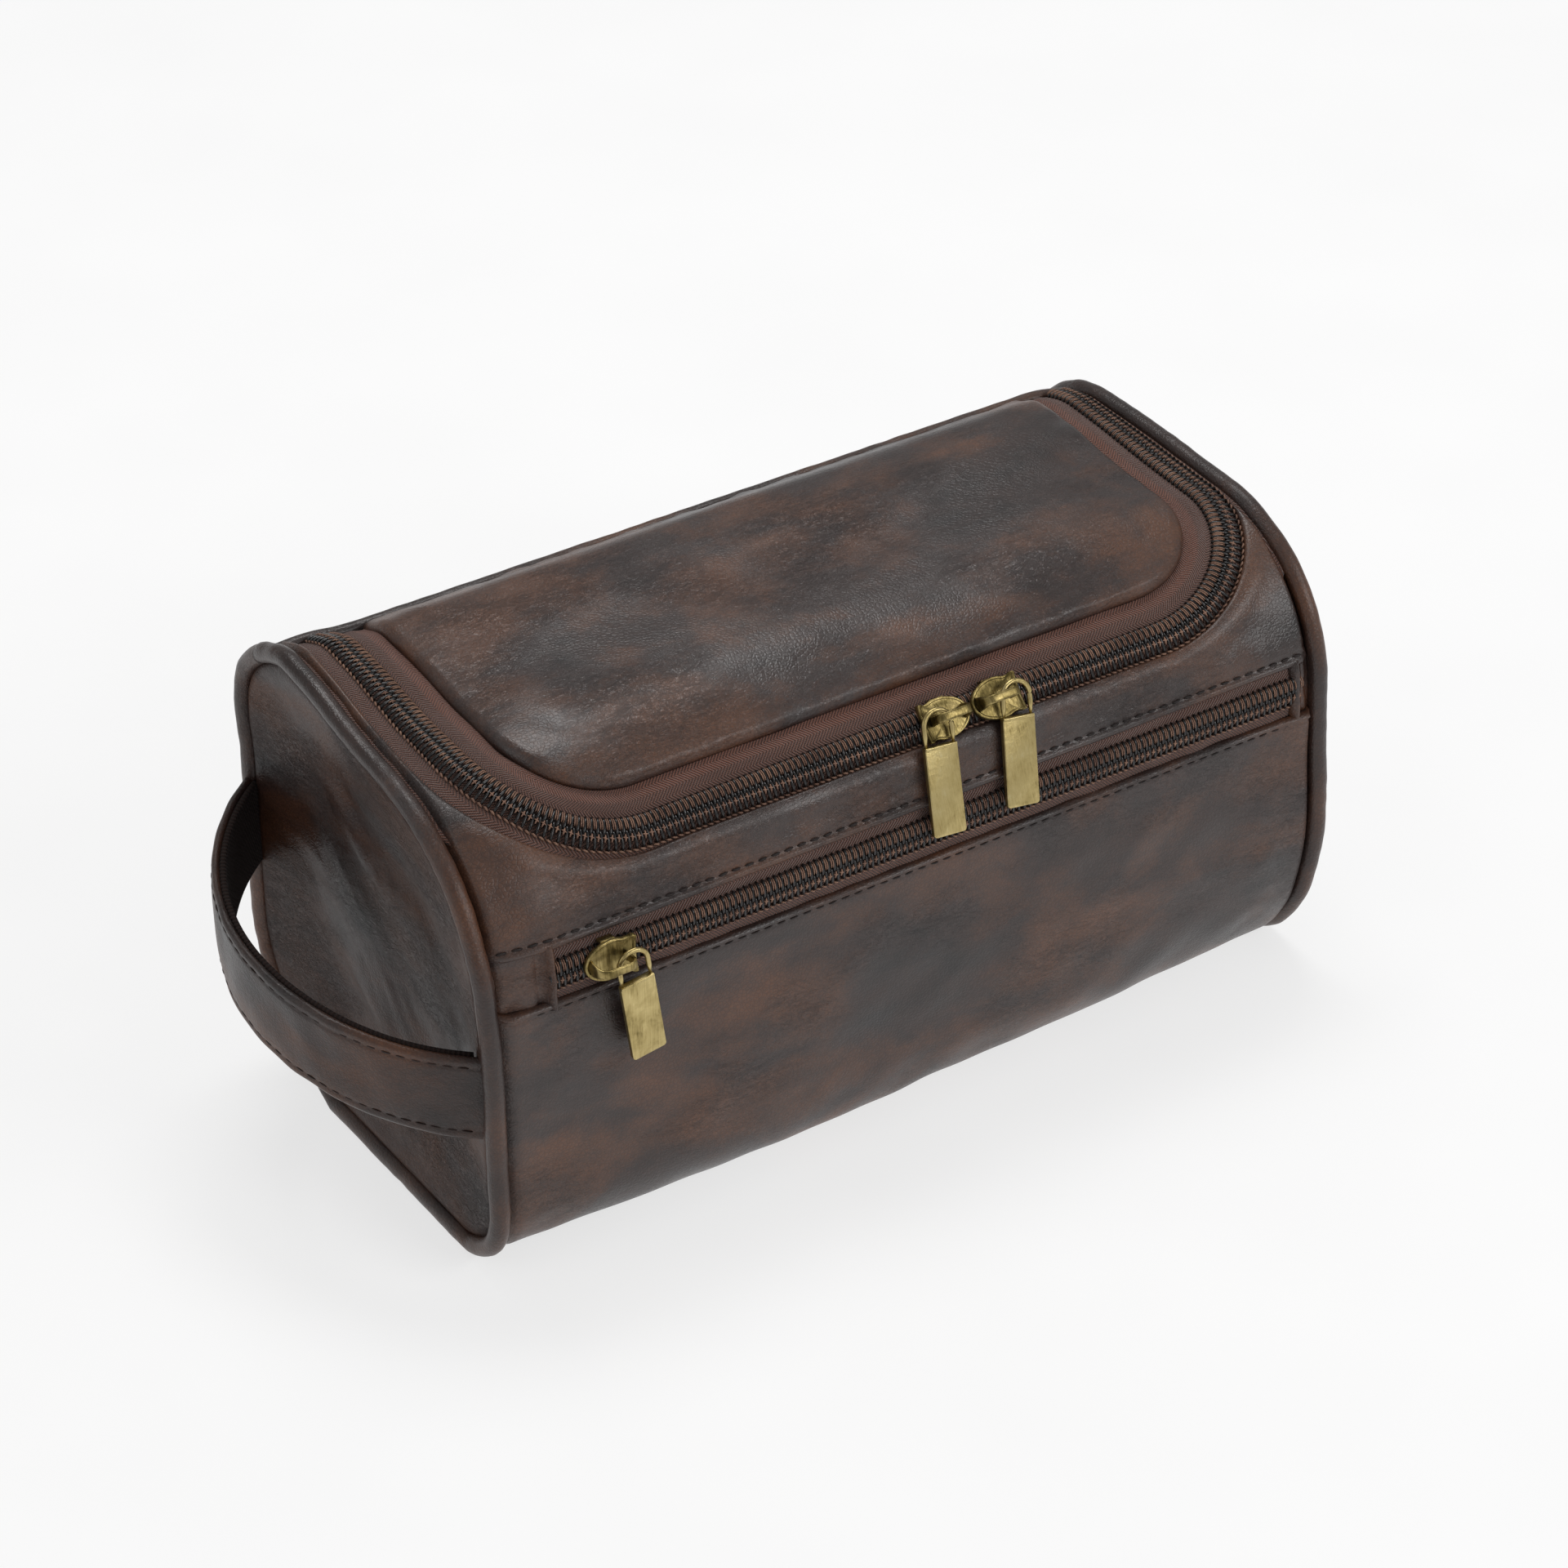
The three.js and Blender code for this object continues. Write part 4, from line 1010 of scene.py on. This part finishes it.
def slider_crown():
    """A thick brass strap that rises at the nose, arches over the plate and turns down again."""
    left = 1.2 - SLIDER_LENGTH / 2
    right = TAB_OFFSET + 0.6
    foot, top = PLATE_TOP - 0.3, PLATE_TOP + 5.9
    path = [(left + 0.2, foot), (left, foot + 1.0)]
    path += [(left + 3.2 + 3.2 * x, top - 3.6 + 3.6 * z) for x, z in arc_points(0, 0, 1, 180, 90, 10)]
    path += arc_points(right - 2.6, top - 2.6, 2.6, 90, 0, 10)
    path += [(right, foot + 1.6), (right - 0.3, foot)]
    path = np.array(path)
    ahead = np.gradient(path, axis=0)
    ahead /= np.linalg.norm(ahead, axis=1, keepdims=True)
    inward = np.stack([ahead[:, 1], -ahead[:, 0]], -1)
    section = [(1.0, 0.28), (0.86, 0.07), (0.55, 0.0), (-0.55, 0.0), (-0.86, 0.07), (-1.0, 0.28),
               (-1.0, 0.68), (-0.86, 0.89), (-0.55, 0.95), (0.55, 0.95), (0.86, 0.89), (1.0, 0.68)]
    corners = []
    for i, (p, q) in enumerate(zip(path, inward)):
        width = 1.12 + 0.8 * max(0.0, 1 - i / 6) + 0.2 * max(0.0, 1 - (len(path) - 1 - i) / 2)
        corners += [(p[0] + q[0] * deep, wide * width, p[1] + q[1] * deep) for wide, deep in section]
    return np.array(corners), skinned(len(path), len(section))


def tab_plate():
    """The pull tab's blade, with the bar its eye is cast on."""
    half, low, high, r = 4.9, -30.0, -6.9, 0.9
    plan = [(half, high), (-half, high), *arc_points(r - half, low + r, r, 180, 270, 6),
            *arc_points(half - r, low + r, r, 270, 360, 6)]
    bar = box_part(-half + 0.1, half - 0.1, high - 0.5, high + 0.5, -1.0, 1.0)
    return join([prism(plan, -0.8, 0.8), bar])


def eye_path():
    """Centre line of the eye's wire: a D that closes over the tab's axis."""
    width, top, bottom, spring = 4.15, 2.7, -6.8, -1.4
    side = [(width, bottom), (width, spring - 2.4), (width, spring - 1.0)]
    arch = [(width * x, spring + (top - spring) * y) for x, y in arc_points(0, 0, 1, 0, 180, 21)]
    return np.array([(x, y, 0.0) for x, y in side + arch + [(-x, y) for x, y in reversed(side)]])


def put(points, matrix):
    return points @ np.array(matrix.to_3x3()).T + np.array(matrix.translation)


def slider(name, u, facing, tilt, lean, both):
    """facing is 1 where the square end points to +X. tilt and lean turn the hanging tab."""
    low, high = mm_box(f"{name}_body")
    x = (low[0] + high[0]) / 2
    y, z, ny, nz = (float(v) for v in outline(u))
    site = Matrix(((1, 0, 0, x), (0, nz, ny, y), (0, -ny, nz, z), (0, 0, 0, 1)))
    turn = Matrix.Rotation(0 if facing > 0 else math.pi, 4, "Z")

    def cast(part, shape, matrix, material):
        points, faces = shape
        return make(f"{name}_{part}", put(points, matrix), faces, material)

    piece = cast("casting", slider_casting(both, facing), site @ turn, CAST_BRASS)
    bevelled(piece, 0.12)
    place(piece, body=name, replaces=[f"{name}_body"])
    piece = cast("loop", slider_crown(), site @ turn, CAST_BRASS)
    place(piece, body=name, replaces=[f"{name}_crown"])
    hang = (site @ Matrix.Translation((facing * TAB_OFFSET, 0, PLATE_TOP + TAB_RISE))
            @ Matrix.Rotation(math.radians(tilt), 4, "X") @ Matrix.Rotation(math.radians(lean), 4, "Z"))
    piece = cast("puller", tab_plate(), hang, BRASS)
    bevelled(piece, 0.3)
    tab_body = name.replace("slider", "tab")
    place(piece, body=tab_body, replaces=[f"{name}_pull_tab"])
    piece = tubes(f"{name}_puller_eye", put(eye_path(), hang)[None], 0.7, 12, BRASS)
    place(piece, body=tab_body)


# ---- The carry strap

STRAP_X, STRAP_Y = -92.5, 0.5
STRAP_RADIUS = 68.0
STRAP_WIDTH = 25.0
STRAP_MIDDLE = 64.6
STRAP_SLOPE = 0.18
STRAP_END = 60.0  # degrees from its middle
STRAP_BEND = ("shell", "handle", (-0.1275, 0, 0.062), (-0.141, 0, 0.062))


def strap_points(angle, radial, across):
    """A point of the strap: radial out from its outer face, across up from its middle."""
    wave = 0.5 * np.sin(angle * 2.1 + 0.5) + 0.25 * np.sin(angle * 5.0)
    r = STRAP_RADIUS + radial + wave * np.cos(angle) ** 2
    y = STRAP_Y + r * np.sin(angle)
    x = STRAP_X - r * np.cos(angle)
    lean = 0.03 * across
    return np.stack([x - lean * np.cos(angle), y, STRAP_MIDDLE + STRAP_SLOPE * y + across], -1)


def strap_piece(name, section, material, reach, nodes):
    angle = np.radians(np.linspace(-reach, reach, 110))[:, None]
    radial, across = section.T[:, None]
    wobble = 0.12 * ripple(angle * STRAP_RADIUS, across, 14, 91)
    points = strap_points(angle, radial + wobble * (radial > -1), across)
    flow = np.stack(np.broadcast_arrays(angle * STRAP_RADIUS, across + 500, radial), -1)
    faces = skinned(len(angle), len(section))
    piece = make(name, points.reshape(-1, 3), faces, material, flow.reshape(-1, 3))
    place(piece, blend=STRAP_BEND, replaces=nodes)


def strap():
    half = STRAP_WIDTH / 2
    edge = 1.1
    across = np.concatenate([np.linspace(edge - half, 5 - half, 10), np.linspace(6 - half, half - 6, 8),
                             np.linspace(half - 5, half - edge, 10)])
    puff = 0.3 * np.cos(across / half * math.pi / 2) - 0.3 * bump(np.abs(across), half - 2.6, 0.5)
    outer = np.stack([puff, across], -1)
    round_top = arc_points(-edge, half - edge, edge, 15, 165, 6)
    round_low = arc_points(-edge, edge - half, edge, 195, 345, 6)
    inner = [(-2.2, half - edge), (-2.0, half - 4), (-2.0, 4 - half), (-2.2, edge - half)]
    section = np.concatenate([outer, round_top, inner, round_low])
    strap_piece("strap_leather", section, LEATHER_STRAP, STRAP_END,
                ["handle_strap", "handle_front_end", "handle_rear_end"])
    band = np.array([(-2.2, -11.6), (-2.2, 11.6), (-2.6, 12.1), (-3.7, 12.0), (-3.9, 11.5),
                     (-3.9, -11.5), (-3.7, -12.0), (-2.6, -12.1)])
    strap_piece("strap_webbing", band, WEBBING, STRAP_END - 3, ["handle_webbing"])
    pitch, dash = 3.9, 2.7
    reach = math.radians(STRAP_END - 4)
    starts = np.arange(-reach, reach, pitch / STRAP_RADIUS)
    t = np.linspace(0, 1, 6)
    for name, row in (("upper", half - 2.6), ("lower", 2.6 - half)):
        angle = starts[:, None] + dash / STRAP_RADIUS * t[None]
        paths = strap_points(angle, 0.2 * np.sin(np.pi * t)[None] - 0.27, row + 0 * angle)
        piece = tubes(f"strap_{name}_stitches", paths, 0.26, 6, STRAP_THREAD)
        place(piece, blend=STRAP_BEND)


# ---- Stage

BAG_MIDDLE = (0, 0, 0.07)


def area_light(name, location, size, power):
    """A soft light that shines at the middle of the bag."""
    data = bpy.data.lights.new(name, "AREA")
    data.shape = "RECTANGLE"
    data.size, data.size_y = size
    data.energy = power
    made = link(name, data)
    made.location = location
    direction = Vector(BAG_MIDDLE) - Vector(location)
    made.rotation_euler = direction.to_track_quat("-Z", "Y").to_euler()


def stage():
    n = Nodes("pale_floor")
    speck = n.noise(n.place(), 12.0, 2.0)
    pale = n.mix(speck, (0.303, 0.303, 0.303, 1), (0.315, 0.315, 0.315, 1))
    n.set(Base_Color=pale, Roughness=0.9, Specular_IOR_Level=0.1, Emission_Color=pale,
          Emission_Strength=2.2)
    mesh = bpy.data.meshes.new("floor")
    far = 8.0
    corners = [(-far, -far, 0), (far, -far, 0), (far, far, 0), (-far, far, 0)]
    mesh.from_pydata(corners, [], [(0, 1, 2, 3)])
    mesh.materials.append(n.material)
    floor = link("floor", mesh)

    world = bpy.data.worlds.new("studio")
    world.use_nodes = True
    background = world.node_tree.nodes["Background"]
    background.inputs["Color"].default_value = (1, 1, 1, 1)
    background.inputs["Strength"].default_value = 0.38
    bpy.context.scene.world = world
    bpy.context.scene.view_settings.view_transform = "Standard"
    area_light("key", (0.25, 0.5, 1.5), (0.9, 0.5), 10)
    area_light("fill_left", (-1.5, 0.1, 0.9), (0.8, 0.8), 2)
    area_light("front", (0.7, -1.3, 0.95), (1.3, 0.4), 10)


def camera():
    data = bpy.data.cameras.new("camera")
    data.lens = 113.4
    data.sensor_width = 36
    made = link("camera", data)
    right = Vector((0.832, -0.555, 0)).normalized()
    forward = Vector((0.4595, 0.6894, -0.5600)).normalized()
    turn = Matrix((right, right.cross(forward), -forward)).transposed().to_4x4()
    made.matrix_world = Matrix.Translation((-0.6011, -0.9007, 0.8003)) @ turn
    bpy.context.scene.camera = made


# ---- The bag

camera()
stage()
front_upper()
front_pocket()
bottom_and_back()
pocket_covers()
end_panel(-1, "left")
end_panel(1, "right")
pipings()
main_zip()
pocket_zip()
lid()
linings()
slider("left_slider", ZIP_FRONT, -1, 20, -5, False)
slider("right_slider", ZIP_FRONT, 1, 20, -8, False)
slider("pocket_slider", POCKET_ZIP, 1, 5.6, 8, True)
strap()
for node, finish in (("base_board", BOARD), ("lid_padding", FOAM)):
    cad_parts[node].data.materials.clear()
    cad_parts[node].data.materials.append(finish)
